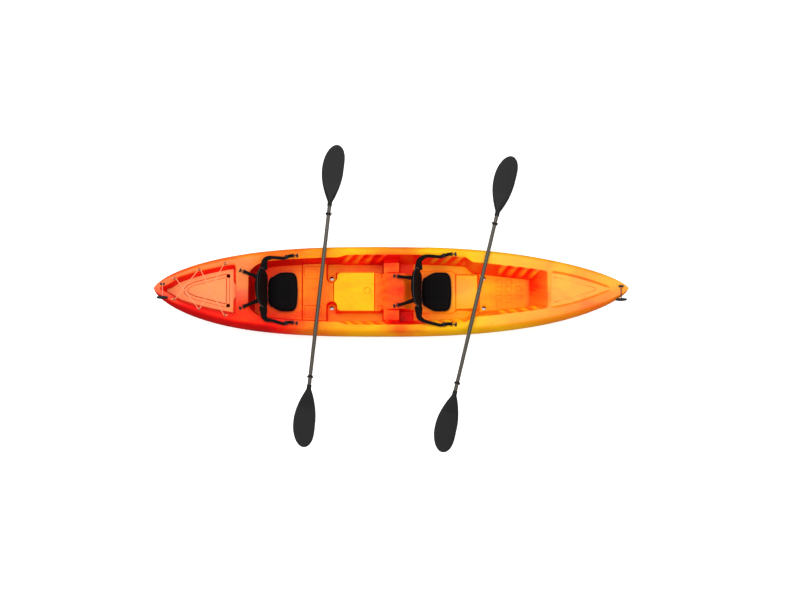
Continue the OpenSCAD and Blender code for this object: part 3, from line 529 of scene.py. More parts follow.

# Where the powder lay, with painted shade and painted highlights mixed in: along the gunwale and the outside,
# along the floors, and a few patches
co = np.empty(len(hull.data.vertices) * 3)
hull.data.vertices.foreach_get("co", co)
at = np.empty(len(hull.data.loops), int)
hull.data.loops.foreach_get("vertex_index", at)
px, py, pz = (co.reshape(-1, 3)[at] / MM).T
nz = np.empty(len(at) * 3, np.float32)
hull.data.corner_normals.foreach_get("vector", nz)
nz = nz.reshape(-1, 3)[:, 2].astype(float)
# Outside tone: the powder's red astern running to yellow, set lower on starboard than on port as painted shade
# on the side turned from the lamp
OUT_X = (-1850, -1600, -1300, -1050, -900, -700, -500, -330, -150, 0, 110, 250, 400, 850, 1100, 1250, 1500,
         1850)
OUT_NEAR = (.02, .0, .0, .04, .12, .34, .64, .86, .9, .9, .8, .78, .9, .92, .78, .66, .57, .57)
OUT_FAR = (.34, .42, .48, .5, .52, .58, .7, .95, .85, .62, .48, .8, .97, 1.0, .88, .82, .78, .72)
FLOOR_AT = (-1800, -1250, -1118, -1060, -900, -700, -470, -446, -136, -120, 0, 80, 150, 300, 520, 690, 900,
            1060, 1085, 1228, 1240, 1700)
FLOOR_TONE = (.54, .54, .3, .2, .26, .5, .54, 1.0, 1.0, .56, .4, .36, .44, .55, .78, .88, .68, .6, .4, .42, .8,
              .74)
# Wall tone: below the floors' and mostly lowest on the port walls, which face away from the lamp: painted shade
# on the walls
WALL_X = (-1800, -1250, -1118, -900, -500, -430, -300, -20, 60, 180, 300, 450, 620, 800, 900, 1100, 1240, 1700)
WALL_NEAR = (.14, .12, .1, .12, .25, .45, .62, .35, .1, .2, .55, .65, .7, .66, .6, .5, .6, .6)
WALL_FAR = (.16, .16, .1, .1, .1, .16, .3, .14, .1, .12, .22, .3, .44, .4, .22, .26, .6, .6)
port = ss(-40, 40, py)
wide = abs(py)
outside = mix(np.interp(px, OUT_X, OUT_NEAR), np.interp(px, OUT_X, OUT_FAR), port)
# Up-facing rim astern on starboard made lighter than the side below: a painted highlight
outside += 0.2 * ss(0.8, 0.97, nz) * (1 - ss(-1100, -800, px)) * (1 - port)
inside = np.interp(px - np.where(px < -300, seat_corner(wide), 0), FLOOR_AT, FLOOR_TONE)
walls = mix(np.interp(px, WALL_X, WALL_NEAR), np.interp(px, WALL_X, WALL_FAR), port)
# Lighter on the foot-brace ridges' crests and darker in their valleys, and darker all over by 0.1: painted
# light and shade
walls += 0.5 * brace(px, ramp(w_floor(px), w_top(px), wide)) / BRACE_D - 0.1
deep = np.where((wide < w_top(px) - 1) & (nz > -0.5), ss(1, 12, z_rim(px) - pz), 0)
# Steep faces below the rim take the wall tone, the painted shade of the walls
steep = (1 - ss(0.55, 0.9, nz)) * deep
# The leg channels' floors set lighter, more on starboard than port: painted light against the shadow cast by
# the well's walls
channel = deep * ss(160, 172, wide) * within(-500, -480, -70, -60, px)
inside = mix(inside, mix(0.66, 0.52, port), channel)
walls = mix(walls, 0.56, within(88, 100, 158, 170, px) * (1 - ss(130, 150, wide)))
# The hump's pockets go deep red, darker on starboard: painted shade in the recesses
pocket = deep * ss(150, 160, wide) * within(62, 74, 168, 180, px)
resin = mix(mix(outside, mix(inside, walls, steep), deep), mix(0.1, 0.2, port), pocket)
PATCHES = ((-60, 245, 120, 0.3), (70, -312, 100, 0.5), (20, -215, 80, 0.14), (30, 0, 90, 0.14))
for sx, sy, reach, pull in PATCHES:
    resin -= pull * np.exp(-((px - sx) ** 2 + 4 * (py - sy) ** 2) / reach ** 2)
# The bow recess's wall made darker, most on the port side where it faces away from the lamp: a painted shadow
lip = ss(0.2, 0.5, ramp(w_floor(px), w_top(px), wide)) * (wide < w_top(px) + 1)
lip *= within(1245, 1275, BOW_END - 50, BOW_END - 10, px)
resin = np.clip(mix(resin, mix(0.5, 0.36, port), 0.8 * lip), 0, 1)
# Painted highlight: flat floors of the tank well and bow deck, up-facing rims astern on port and forward, and a
# patch of the front floor, made paler
PAINTED_SHEEN_X, PAINTED_SHEEN = (-1750, -1250, -1130, 1150, 1250, 1600), (0.6, 0.6, 0.0, 0.0, 0.3, 0.3)
pale = deep * (1 - steep) * np.interp(px, PAINTED_SHEEN_X, PAINTED_SHEEN)
pale += 0.3 * (1 - deep) * ss(0.85, 0.97, nz) * (1 - ss(-1150, -950, px)) * ss(-150, 0, py)
pale += 0.2 * (1 - deep) * ss(0.6, 0.9, nz) * ss(500, 900, px)
pale += 0.25 * deep * (1 - steep) * np.exp(-((px - 590) / 110) ** 2 - (py / 110) ** 2)
# Stored on the hull: the tone with its painted shade, and the painted highlight
for name, values in (("resin", resin), ("bloom", np.clip(pale * (1 - lip), 0, 1))):
    layer = hull.data.attributes.new(name, "FLOAT", "CORNER")
    layer.data.foreach_set("value", values.astype(np.float32))
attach(hull, "hull")
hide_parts("hull")


# Carry ropes and toggles. At each tip a short braided polyester rope is spliced round the bar of a nylon
# deck eye and crosses the deck to a moulded rubber toggle that lies at its edge.
FIT = 0.3
EYE_T, BAR_D, BAR_H, ROPE_D = 3.0, 5.5, 16.0, 8.0
ROPE_LOOP_R, ROPE_SIDES = BAR_D / 2 + ROPE_D / 2 + FIT, 14
TIPS = (("bow", (HALF_L - 58, 16, -104, -6), ("#4a1f14", "#7a3a26")),
        ("stern", (66 - HALF_L, 36, -109, 13.5), ("#d5603c", "#f0a184")))


def on_deck(x, y, spots):
    """Points given in the frame of a fitting that lies on the sloping deck, in millimetres."""
    a = math.atan((z_rim(x - 10) - z_rim(x + 10)) / 20)
    p = np.asarray(spots, float)
    return np.stack([x + p[:, 0] * math.cos(a) + p[:, 2] * math.sin(a), y + p[:, 1],
                     z_rim(x) + FIT - p[:, 0] * math.sin(a) + p[:, 2] * math.cos(a)], axis=1)


def run_along(path):
    """The length along a path at each of its points."""
    return np.concatenate([[0], np.cumsum(np.linalg.norm(np.diff(path, axis=0), axis=1))])


def unit(v):
    return v / np.linalg.norm(v, axis=-1, keepdims=True)


def sampled(at, run, p):
    """Points of a path at those lengths along it."""
    return np.stack([np.interp(at, run, p[:, k]) for k in range(3)], axis=1)


def smooth_path(spots, step):
    """A curve through the points, resampled every step millimetres."""
    p = np.asarray(spots, float)
    p = np.vstack([2 * p[0] - p[1], p, 2 * p[-1] - p[-2]])
    out = []
    for p0, p1, p2, p3 in zip(p, p[1:], p[2:], p[3:]):
        t = np.linspace(0, 1, 24, endpoint=False)[:, None]
        out.append(0.5 * (2 * p1 + (p2 - p0) * t + (2 * p0 - 5 * p1 + 4 * p2 - p3) * t ** 2
                          + (3 * p1 - p0 - 3 * p2 + p3) * t ** 3))
    out = np.vstack(out + [p[-2:-1]])
    run = run_along(out)
    return sampled(np.linspace(0, run[-1], max(3, int(run[-1] / step) + 1)), run, out)


def frames(path, closed=False):
    """Side and up vectors that turn as little as they can along a path."""
    t = np.gradient(path, axis=0)
    if closed:
        t = np.roll(path, -1, axis=0) - np.roll(path, 1, axis=0)
    t = unit(t)
    side = np.cross(t[0], [0, 0, 1] if abs(t[0][2]) < 0.9 else [1, 0, 0])
    sides = []
    for d in t:
        side = unit(side - d * (side @ d))
        sides.append(side)
    sides = np.array(sides)
    return sides, np.cross(t, sides)


def tube(name, path, radius, count, cover, closed=False):
    """A round tube with a UV map: metres along it, turns round it."""
    side, over = frames(path, closed)
    a = 2 * math.pi * np.arange(count) / count
    ring = path[:, None] + radius * (np.cos(a)[None, :, None] * side[:, None]
                                     + np.sin(a)[None, :, None] * over[:, None])
    n = len(path)
    verts, index = ring.reshape(-1, 3), np.arange(n * count).reshape(n, count)
    faces, uvs = [], []
    run = run_along(np.vstack([path, path[:1]])) * MM
    for j in range(count):
        m, v0, v1 = (j + 1) % count, j / count, (j + 1) / count
        for i in range(n if closed else n - 1):
            k = (i + 1) % n
            faces.append((index[i, j], index[i, m], index[k, m], index[k, j]))
            uvs += [(run[i], v0), (run[i], v1), (run[i + 1], v1), (run[i + 1], v0)]
        if not closed:
            faces += [(n * count, index[0, m], index[0, j]), (n * count + 1, index[-1, j], index[-1, m])]
            uvs += [(0, 0.5), (0, v1), (0, v0), (run[n - 1], 0.5), (run[n - 1], v0), (run[n - 1], v1)]
    if not closed:
        verts = np.vstack([verts, path[0], path[-1]])
    return mesh_object(name, verts * MM, faces, cover, uvs)


def crossing(tree, along, across):
    """Two sets of strands that cross: the higher of two waves that run opposite ways."""
    return maths(tree, "MAXIMUM", *[maths(tree, "SINE", maths(tree, way, along, across))
                                    for way in ("ADD", "SUBTRACT")])


def braided(name, code, fleck, lay, strands, rough):
    """A plaited cover: two sets of strands that wind opposite ways, one turn of each in lay millimetres."""
    made, tree = material(name)
    run = put(tree, "ShaderNodeUVMap", uv_map="run")
    along, turns, _ = put(tree, "ShaderNodeSeparateXYZ", {0: run.outputs[0]}).outputs
    plait = crossing(tree, maths(tree, "MULTIPLY", along, 2 * math.pi * strands / (lay * MM)),
                     maths(tree, "MULTIPLY", turns, 2 * math.pi * strands))
    depth = rescale(tree, plait, -0.6, 1.0)
    worn = maths(tree, "MULTIPLY", depth, noise(tree, on_object(tree), 0.03, 3.0))
    surface(tree, {"Base Color": two_tone(tree, worn, code, fleck), "Normal": dented(tree, depth, 0.7, 0.0006),
                   "Roughness": rough, "Sheen Weight": 0.25})
    return made


def moulded(name, code, fleck, rough, grain):
    """Moulded plastic or rubber: one colour with faint mottling, and a grain of that many millimetres."""
    made, tree = material(name)
    place = on_object(tree)
    mottle = noise(tree, place, 0.02, 4.0)
    surface(tree, {"Base Color": two_tone(tree, mottle, code, fleck),
                   "Roughness": rescale(tree, mottle, 0.0, 1.0, rough - 0.08, rough + 0.08),
                   "Normal": dented(tree, noise(tree, place, grain * MM, 2.0), 0.25, 0.0003),
                   "Specular IOR Level": 0.2})
    return made


def dress(node, finish):
    """Gives a CAD node that stays in view its real finish."""
    nodes[node].data.materials.clear()
    nodes[node].data.materials.append(finish)


# Glass-filled nylon, injection moulded: black, dull, with a fine spark-eroded grain
black_nylon = moulded("glass_filled_nylon", "#0e0c0c", "#171414", 0.5, 0.8)
# Moulded nitrile rubber: matt black that greys where hands rub it
toggle_rubber = moulded("moulded_nitrile_rubber", "#111112", "#232324", 0.62, 1.5)
for tip, (ax, ay, dy, dz), colours in TIPS:
    # Plaited polyester, one full twist of the plait in about 30 mm
    plait = braided(f"plaited_polyester_{tip}", *colours, 30, 4, 0.7)
    eye = [(0, ROPE_LOOP_R * math.cos(a), BAR_H + ROPE_LOOP_R * math.sin(a))
           for a in np.radians(np.arange(0, 271, 15))]
    z0 = BAR_H - ROPE_LOOP_R
    out = [(0, mix(-2, dy, f), mix(z0, dz, float(ss(0.4, 0.85, f))))
           for f in (0.02, 0.15, 0.3, 0.45, 0.6, 0.75, 0.86, 0.98)]
    turn_path = smooth_path(on_deck(ax, ay, eye + [out[0]]), 1.5)
    splice = tube(f"{tip}_rope_splice", turn_path, ROPE_D / 2, ROPE_SIDES, plait)
    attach(splice, f"{tip}_handle")
    line = smooth_path(on_deck(ax, ay, out), 2.5)
    rope = tube(f"{tip}_carry_rope", line, ROPE_D / 2, ROPE_SIDES, plait)
    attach(rope, f"{tip}_handle")
    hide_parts(f"{tip}_rope")
    dress(f"{tip}_grip", toggle_rubber)
    dress(f"{tip}_anchor", black_nylon)


# Lacing. Two elastic cords with a woven cover cross twice over the tank well, through nylon loops that
# are screwed to both gunwales, and end in stopper knots astern and at the front.
CORD_D, CLEAR, KNOT_R = 6.0, 0.6, 2.5
LACE_X = (-1690.0, -1500.0, -1300.0)


def gun_mid(x):
    return float((crest(x) + w_top(x)) / 2)


def lace_spot(i, dx, dy, dz, side=1):
    at = LACE_X[i]
    z = float(z_rim(at)) + FIT + EYE_T + CORD_D / 2 + CLEAR
    return np.array([at + dx, side * (gun_mid(at) + dy), z + dz])


def lace_route(over, side):
    """One cord's points: from its knot astern across to the loop opposite, and back to the front loop."""
    arch, up = ((0.2, 0.5), (0.4, 1), (0.7, 0.5)), np.array([0, 0, over])
    first, back = lace_spot(0, 10, -5, 0.5, side), lace_spot(2, -10, -10, 0.5, side)
    knee, last = [lace_spot(1, dx, -22, 2, -side) for dx in (-20, 20)]
    through = [lace_spot(1, dx, dy, dz, -side) for dx, dy, dz in ((-11, -4, 0.5), (0, 0, 0), (11, -4, 0.5))]
    return ([lace_spot(0, -14, 0, 1, side), lace_spot(0, 0, 0, 0, side), first]
            + [mix(first, knee, f) + up * h for f, h in arch] + [knee] + through + [last]
            + [mix(last, back, f) + up * h for f, h in arch]
            + [back, lace_spot(2, 0, 0, 0, side), lace_spot(2, 14, 2, 1, side)])


# Elastic cord in a woven polyester cover, salmon pink, one twist of the weave in about 20 mm
elastic = braided("woven_covered_elastic", "#f0884f", "#fbb888", 20, 3, 0.75)
for name, over, side in (("bungee_a", 0.0, 1), ("bungee_b", CORD_D + 3, -1)):
    route = lace_route(over, side)
    cord = tube(f"{name}_cord", smooth_path(route, 4), CORD_D / 2, 12, elastic)
    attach(cord, "hull")
    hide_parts(name)
    # A stopper knot is a trefoil drawn tight
    t = np.linspace(0, 2 * math.pi, 60, endpoint=False)
    trefoil = 1.75 * np.stack([np.sin(t) + 2 * np.sin(2 * t), np.cos(t) - 2 * np.cos(2 * t),
                               -1.2 * np.sin(3 * t)], axis=1)
    for end, spot, past in (("stern", route[0], -4), ("front", route[-1], 4)):
        knot = tube(f"{name}_{end}_knot", spot + np.array([past, 0, 0.5]) + trefoil, KNOT_R, 10, elastic,
                    closed=True)
        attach(knot, "hull")
# Acetal, injection moulded in a rust brown that hardly shows against the deck
loop_acetal = moulded("moulded_acetal", "#a8441c", "#bb5527", 0.45, 0.8)
dress("bungee_loops", loop_acetal)


# Deck screws. Pan-head stainless screws hold down every eye and loop on the deck, two to a plate, with the
# head standing on the plate.
SCREW_R, SCREW_H, HEAD_SIDES = 2.6, 1.5, 12
EYE_SCREW, LOOP_SCREW, TIP_SCREW = 12, 9.2, 15


def eye_frame(e, p, side):
    """Place and heading of a pad eye, from where its hook is pulled to."""
    return e[0], side * e[1], e[2], side * math.atan2(p[1] - e[1], p[0] - e[0])


REAR_EYE_X, FRONT_EYE_X = -735.0, 504.0
REAR_EYE_Y, FRONT_EYE_Y = gun_mid(REAR_EYE_X), gun_mid(FRONT_EYE_X)
EYES = {"rear": ((REAR_EYE_X, REAR_EYE_Y, RIM_Z), (-1180, 150, RIM_Z)),
        "front": ((FRONT_EYE_X, FRONT_EYE_Y, RIM_Z), (23, HUMP_HW - 26, HUMP_Z))}
PULLS = {"rear": ((-880, REAR_EYE_Y - 14), (-1085, 112)),
         "front": ((330, FRONT_EYE_Y - 14), (118, HUMP_HW - 44))}
seats_of_screws = []
for seat in EYES:
    for e, p in zip(EYES[seat], PULLS[seat]):
        for side in (-1, 1):
            ex, ey, ez, head = eye_frame(e, p, side)
            for k in (-EYE_SCREW, EYE_SCREW):
                seats_of_screws.append((ex - k * math.sin(head), ey + k * math.cos(head), ez + EYE_T))
for at in LACE_X:
    for side in (-1, 1):
        pair = [(0, k, EYE_T) for k in (-LOOP_SCREW, LOOP_SCREW)]
        seats_of_screws += list(on_deck(at, side * gun_mid(at), pair))
for _, (ax, ay, *_), _ in TIPS:
    seats_of_screws += list(on_deck(ax, ay, [(k, 0, EYE_T) for k in (-TIP_SCREW, TIP_SCREW)]))
# Stainless steel, turned and tumbled: bright grey with a soft brushed gloss
stainless, tree = material("tumbled_stainless_steel")
swirl = noise(tree, on_object(tree), 0.0012, 2.0)
surface(tree, {"Base Color": srgb("#8f8d8a"), "Metallic": 1.0,
               "Roughness": rescale(tree, swirl, 0.0, 1.0, 0.25, 0.45)})

head = bmesh.new()
profile = [(SCREW_R * 0.55, SCREW_H * 0.93), (SCREW_R * 0.88, SCREW_H * 0.62), (SCREW_R, 0.0)]
top = head.verts.new((0, 0, SCREW_H * MM))
rings = [[head.verts.new((r * math.cos(a) * MM, r * math.sin(a) * MM, z * MM))
          for a in np.linspace(0, 2 * math.pi, HEAD_SIDES, endpoint=False)] for r, z in profile]
for j in range(HEAD_SIDES):
    k = (j + 1) % HEAD_SIDES
    head.faces.new((top, rings[0][j], rings[0][k]))
    for a, b in zip(rings, rings[1:]):
        head.faces.new((a[j], b[j], b[k], a[k]))
head.faces.new(rings[-1][::-1])
head_object = from_bmesh("screw_head", head)


def scatter_tree(name, one, finish):
    """Geometry Nodes: one shape on every point, turned to the point's own direction."""
    tree = bpy.data.node_groups.new(name, "GeometryNodeTree")
    tree.interface.new_socket("Geometry", in_out="INPUT", socket_type="NodeSocketGeometry")
    tree.interface.new_socket("Size", in_out="INPUT", socket_type="NodeSocketFloat")
    tree.interface.new_socket("Geometry", in_out="OUTPUT", socket_type="NodeSocketGeometry")
    given = put(tree, "NodeGroupInput")
    shape = put(tree, "GeometryNodeObjectInfo", {"Object": one})
    way = put(tree, "GeometryNodeInputNamedAttribute", {"Name": "way"}, data_type="FLOAT_VECTOR")
    turned = put(tree, "FunctionNodeAlignRotationToVector", {"Vector": way.outputs[0]}, axis="X")
    spots = put(tree, "GeometryNodeMeshToPoints", {"Mesh": given.outputs[0]})
    placed = put(tree, "GeometryNodeInstanceOnPoints", {
        "Points": spots.outputs[0], "Instance": shape.outputs["Geometry"], "Rotation": turned.outputs[0],
        "Scale": given.outputs[1]})
    solid = put(tree, "GeometryNodeRealizeInstances", {0: placed.outputs[0]})
    coloured = put(tree, "GeometryNodeSetMaterial", {"Geometry": solid.outputs[0], "Material": finish})
    put(tree, "NodeGroupOutput", {0: coloured.outputs[0]})
    return tree


def scatter(name, tree, spots, ways, size=1.0):
    mesh = bpy.data.meshes.new(name)
    mesh.from_pydata([tuple(map(float, np.asarray(p) * MM)) for p in spots], [], [])
    layer = mesh.attributes.new("way", "FLOAT_VECTOR", "POINT")
    layer.data.foreach_set("vector", np.asarray(ways, np.float32).reshape(-1))
    made = linked(name, mesh)
    modifier = made.modifiers.new("scatter", "NODES")
    modifier.node_group = tree
    sockets = [s for s in tree.interface.items_tree if s.in_out == "INPUT" and s.name == "Size"]
    modifier[sockets[0].identifier] = size
    settle(made)
    made.data.shade_smooth()
    return made


screws = scatter("deck_screws", scatter_tree("screw_heads", head_object, stainless), seats_of_screws,
                 [(1, 0, 0)] * len(seats_of_screws))
bpy.data.objects.remove(head_object)
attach(screws, "hull")
dress("seat_eyes", black_nylon)


# Seats. Each is a foam pad and a folding backrest in black ripstop-backed polyester, with piped edges;
# the pad lies in the moulded pan and the back stands behind it, held by four webbing straps.
SEATS = (("rear", -985.0), ("front", 223.0))
PAD_L, PAD_W, PAD_T, PAD_X = 228.0, 320.0, 46.0, 24.0
BACK_H, BACK_W, BACK_T, LEAN = 330.0, 312.0, 36.0, math.radians(10)
BACK_Z, PAD_Z = SEAT_Z + 24, SEAT_Z + 0.6
# The pad's heel tucks under the back and is lower; the back bows round the paddler by BACK_BOW at its edges
PAD_TUCK, HEEL_DROP, BACK_BOW = 14.0, 5.0, 26.0
ACROSS = np.sin(np.linspace(-math.pi / 2, math.pi / 2, 41))


def pad_hw(t):
    square = np.where(np.asarray(t) < 0.5, 18, 7)
    return np.maximum(30, PAD_W / 2 * mix(0.7, 1, ss(0, 0.5, t)) * (1 - abs(2 * t - 1) ** square) ** 0.42)


def pad_ring(t, shrink):
    at, w = mix(-PAD_TUCK, PAD_L, t), pad_hw(t) - shrink
    along = ramp(0, PAD_L, at)
    h = PAD_T * (0.42 + 0.58 * (1 - abs(2 * along - 1) ** 5) ** 0.5) - shrink
    h -= HEEL_DROP * (1 - ss(0.1, 0.4, along))
    crown = np.sqrt(np.maximum(0, 1 - ACROSS ** 4))
    sole = 4 * (1 - np.sqrt(1 - (0.99 * ACROSS) ** 4))
    level = np.full_like(ACROSS, at)
    top = np.stack([level, ACROSS * w, PAD_Z + h * mix(0.42, 1, crown)], axis=1)
    under = np.stack([level, ACROSS * w * 0.965, PAD_Z + sole], axis=1)
    return np.vstack([top, under[::-1]])


def bowed(y):
    return BACK_BOW * (y / (BACK_W / 2)) ** 2


def back_hw(h):
    arch = np.sin(np.pi * ramp(0, BACK_H * 1.25, h))
    ends = np.maximum(0, 1 - abs(2 * h / BACK_H - 1) ** 9) ** 0.4
    return np.maximum(24, BACK_W / 2 * (0.8 + 0.2 * arch) * ends)


def back_ring(h, shrink):
    y = ACROSS * (back_hw(h) - shrink)
    t = BACK_T / 2 * (0.45 + 0.55 * np.maximum(0, 1 - abs(2 * h / BACK_H - 1) ** 6) ** 0.5) - shrink
    thick = t * np.maximum(0.24, np.sqrt(np.maximum(0, 1 - abs(ACROSS) ** 5)))
    rear, fore = [np.stack([bowed(y) + k * thick, y, np.full_like(y, h)], axis=1) for k in (-1, 1)]
    return np.vstack([rear, fore[::-1]])


def lean_back(p):
    """From the backrest's own frame to the seat's, about its hinge line."""
    return np.stack([p[:, 0] * math.cos(LEAN) - p[:, 2] * math.sin(LEAN), p[:, 1],
                     BACK_Z + p[:, 0] * math.sin(LEAN) + p[:, 2] * math.cos(LEAN)], axis=1)


VOXEL, PRESSURE, STIFFNESS, SETTLED = 5.0 * MM, 4.0, 25.0, 20


def stuffed(name, rings, cover, cap, floor_z=None):
    """Foam under cloth: the cloth is blown up by cap millimetres at most by a simulation and comes to rest."""
    verts, faces = loft(rings)
    made = mesh_object(name, verts * MM, faces, cover)
    block = made.modifiers.new("voxels", "REMESH")
    block.mode = "VOXEL"
    block.voxel_size = VOXEL
    settle(made)
    rest = np.empty(len(made.data.vertices) * 3)
    made.data.vertices.foreach_get("co", rest)
    cloth = made.modifiers.new("cloth", "CLOTH")
    cloth.settings.use_pressure = True
    cloth.settings.uniform_pressure_force = PRESSURE
    cloth.settings.effector_weights.gravity = 0.0
    cloth.settings.tension_stiffness = cloth.settings.compression_stiffness = STIFFNESS
    cloth.point_cache.frame_start, cloth.point_cache.frame_end = 1, SETTLED
    for f in range(1, SETTLED + 1):
        scene.frame_set(f)
    settle(made)
    scene.frame_set(1)
    grown = np.empty_like(rest)
    made.data.vertices.foreach_get("co", grown)
    move = (grown - rest).reshape(-1, 3)
    moved = np.linalg.norm(move, axis=1)[:, None]
    move *= np.minimum(1, cap * MM / np.maximum(moved, 1e-9))
    grown = rest.reshape(-1, 3) + move
    if floor_z is not None:
        grown[:, 2] = np.maximum(grown[:, 2], floor_z * MM)
    made.data.vertices.foreach_set("co", grown.reshape(-1))
    made.data.update()
    finer = made.modifiers.new("finer", "SUBSURF")
    finer.levels = finer.render_levels = 1
    settle(made)
    made.data.shade_smooth()
    if not made.data.materials:
        made.data.materials.append(cover)
    return made


def shifted(made, name, dx):
    """A second piece of the same make, dx millimetres further forward."""
    twin = linked(name, made.data.copy())
    twin.data.transform(Matrix.Translation((dx * MM, 0, 0)))
    return twin


# Coated polyester seat cloth: near black, dull, threads 0.6 mm apart drawn at 3 mm so that they show
THREAD = 3.0
seat_cloth, tree = material("coated_polyester_cloth")
place = on_object(tree)
warp, weft, third = [maths(tree, "SINE", maths(tree, "MULTIPLY", axis, 2 * math.pi / (THREAD * MM)))
                     for axis in put(tree, "ShaderNodeSeparateXYZ", {0: place}).outputs]
depth = rescale(tree, maths(tree, "ADD", maths(tree, "MULTIPLY", warp, weft), third), -2.0, 2.0)
faded = maths(tree, "MULTIPLY", depth, noise(tree, place, 0.06, 3.0))
surface(tree, {"Base Color": two_tone(tree, faded, "#050404", "#110f10"),
               "Normal": dented(tree, depth, 0.5, 0.0004), "Roughness": 0.78, "Specular IOR Level": 0.08})
# Woven polyester piping over a cord, a little glossier than the cloth
piping = braided("woven_polyester_piping", "#0c0b0c", "#262325", 12, 2, 0.6)
# Bonded nylon thread, charcoal
thread_finish = moulded("bonded_nylon_thread", "#2b292b", "#3a3739", 0.55, 0.6)

STITCH_L, STITCH_R, STITCH_STEP, PIPING_R, PIPING_SIDES = 2.6, 0.7, 7.5, 2.2, 8
stitch = bmesh.new()
bmesh.ops.create_uvsphere(stitch, u_segments=6, v_segments=4, radius=1.0)
bmesh.ops.scale(stitch, vec=(STITCH_L * MM, STITCH_R * MM, STITCH_R * MM), verts=stitch.verts)
stitch_object = from_bmesh("stitch", stitch)
stitch_tree = scatter_tree("thread_stitches", stitch_object, thread_finish)


ROUNDS = 6


def ring_on(made, spots, lift):
    """A closed line laid on a piece: its points go to the nearest spots of the skin, then it is eased."""
    skin = BVHTree.FromObject(made, bpy.context.evaluated_depsgraph_get())
    found = []
    for p in spots:
        hit, normal, _, _ = skin.find_nearest(Vector(p * MM))
        found.append(np.array(hit + normal * lift * MM) / MM)
    line = np.array(found)
    for _ in range(ROUNDS):
        line = 0.5 * line + 0.25 * (np.roll(line, 1, axis=0) + np.roll(line, -1, axis=0))
    return line


def even_loop(spots, step):
    p = np.vstack([spots, spots[:1]])
    run = run_along(p)
    return sampled(np.linspace(0, run[-1], int(run[-1] / step), endpoint=False), run, p)


def both_edges(x, y, z):
    """A closed outline from its port edge."""
    port_edge = np.stack(np.broadcast_arrays(x, y, z), axis=1)
    return np.vstack([port_edge, (port_edge * np.array([1, -1, 1]))[::-1]])


# The cloth starts a little inside the foam's size and fills out to it by up to PUFF
SHRINK, PUFF = 2.0, 4.0
rear_x = SEATS[0][1]
pad_t = 0.5 - 0.5 * np.cos(np.linspace(0, math.pi, 56))
pad_rings = [pad_ring(t, SHRINK) + np.array([rear_x + PAD_X, 0, 0]) for t in pad_t]
pad = stuffed("rear_seat_pad", pad_rings, seat_cloth, PUFF, SEAT_Z + 0.5)
back_h = BACK_H * (0.5 - 0.5 * np.cos(np.linspace(0, math.pi, 60)))
back_rings = [lean_back(back_ring(h, SHRINK)) + np.array([rear_x, 0, 0]) for h in back_h]
back = stuffed("rear_seat_back", back_rings, seat_cloth, PUFF)

t = np.linspace(0.02, 0.98, 60)
outline = both_edges(rear_x + PAD_X + mix(-PAD_TUCK, PAD_L, t), pad_hw(t), SEAT_Z + 17.0)
pad_line = ring_on(pad, even_loop(outline, 4), 0.4)
inset = outline.copy()
inset[:, 0] = mix(inset[:, 0], rear_x + PAD_X + PAD_L / 2, 0.16)
inset[:, 1] *= 0.87
inset[:, 2] = SEAT_Z + PAD_T + 8
pad_sewn = ring_on(pad, even_loop(inset, 6), 0.3)
h = np.linspace(0.012, 0.988, 70) * BACK_H
rim = both_edges(bowed(back_hw(h)), back_hw(h), h)
back_line = ring_on(back, even_loop(lean_back(rim) + np.array([rear_x, 0, 0]), 4), 0.4)
rim_in = rim.copy()
rim_in[:, 1] *= 0.86
rim_in[:, 2] = mix(rim_in[:, 2], BACK_H / 2, 0.1)
rim_in[:, 0] = bowed(rim_in[:, 1]) + BACK_T / 2 + 6
back_sewn = ring_on(back, even_loop(lean_back(rim_in) + np.array([rear_x, 0, 0]), 6), 0.3)


def trimmed(made, name, edge_line, sewn_line):
    """A stuffed piece with the piping on its edge and the row of stitches inside it."""
    spots = even_loop(sewn_line, STITCH_STEP)
    ways = unit(np.roll(spots, -1, axis=0) - np.roll(spots, 1, axis=0))
    return [made, tube(f"{name}_piping", edge_line, PIPING_R, PIPING_SIDES, piping, closed=True),
            scatter(f"{name}_stitches", stitch_tree, spots, ways)]


pieces_of_pad = trimmed(pad, "rear_pad", pad_line, pad_sewn)
pieces_of_back = trimmed(back, "rear_back", back_line, back_sewn)
for seat, seat_x in SEATS:
    for group, body, node in ((pieces_of_pad, "hull", "pad"), (pieces_of_back, f"{seat}_back", "back")):
        for k, made in enumerate(group):
            if seat == "front":
                made = shifted(made, made.name.replace("rear", "front"), seat_x - rear_x)
            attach(made, body)
            if k == 0:
                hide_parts(f"{seat}_{node}")


# Seat straps. Polyester webbing 25 mm wide: on each side a padded wing leaves the backrest and narrows to
# webbing that runs forward through a keeper to its snap hook; two shorter tails run aft to theirs.
WEB_W, WEB_T, WING_W, WING_H, WING_RUN = 25.0, 1.8, 62.0, 178.0, 88.0
WIRE_D, RING_D, PULL_Z, TAIL_H, SEWN, SLACK, SEWN_IN = 3.5, 15.0, 14.0, 150.0, 0.6, 15.0, 16.0
TAIL_Y = BACK_W / 2 * 0.55
BAR_Z = EYE_T + RING_D / 2 + WIRE_D / 2 + FIT
HOOK_SHANK, SLOT_BAR = 13.0, 4.0
SLOT_X = RING_D / 2 - WIRE_D / 2 - BAR_D / 2 - FIT + RING_D / 2 + HOOK_SHANK
LIFT = SLOT_BAR / 2 + FIT + WEB_T / 2


def hook_point(e, p, along):
    a = math.atan2(p[1] - e[1], p[0] - e[0])
    return np.array([e[0] + along * math.cos(a), e[1] + along * math.sin(a), e[2] + BAR_Z + LIFT])


def back_point(x, h, y, off):
    return lean_back(np.array([[bowed(y) + off, y, h]]))[0] + np.array([x, 0, 0])


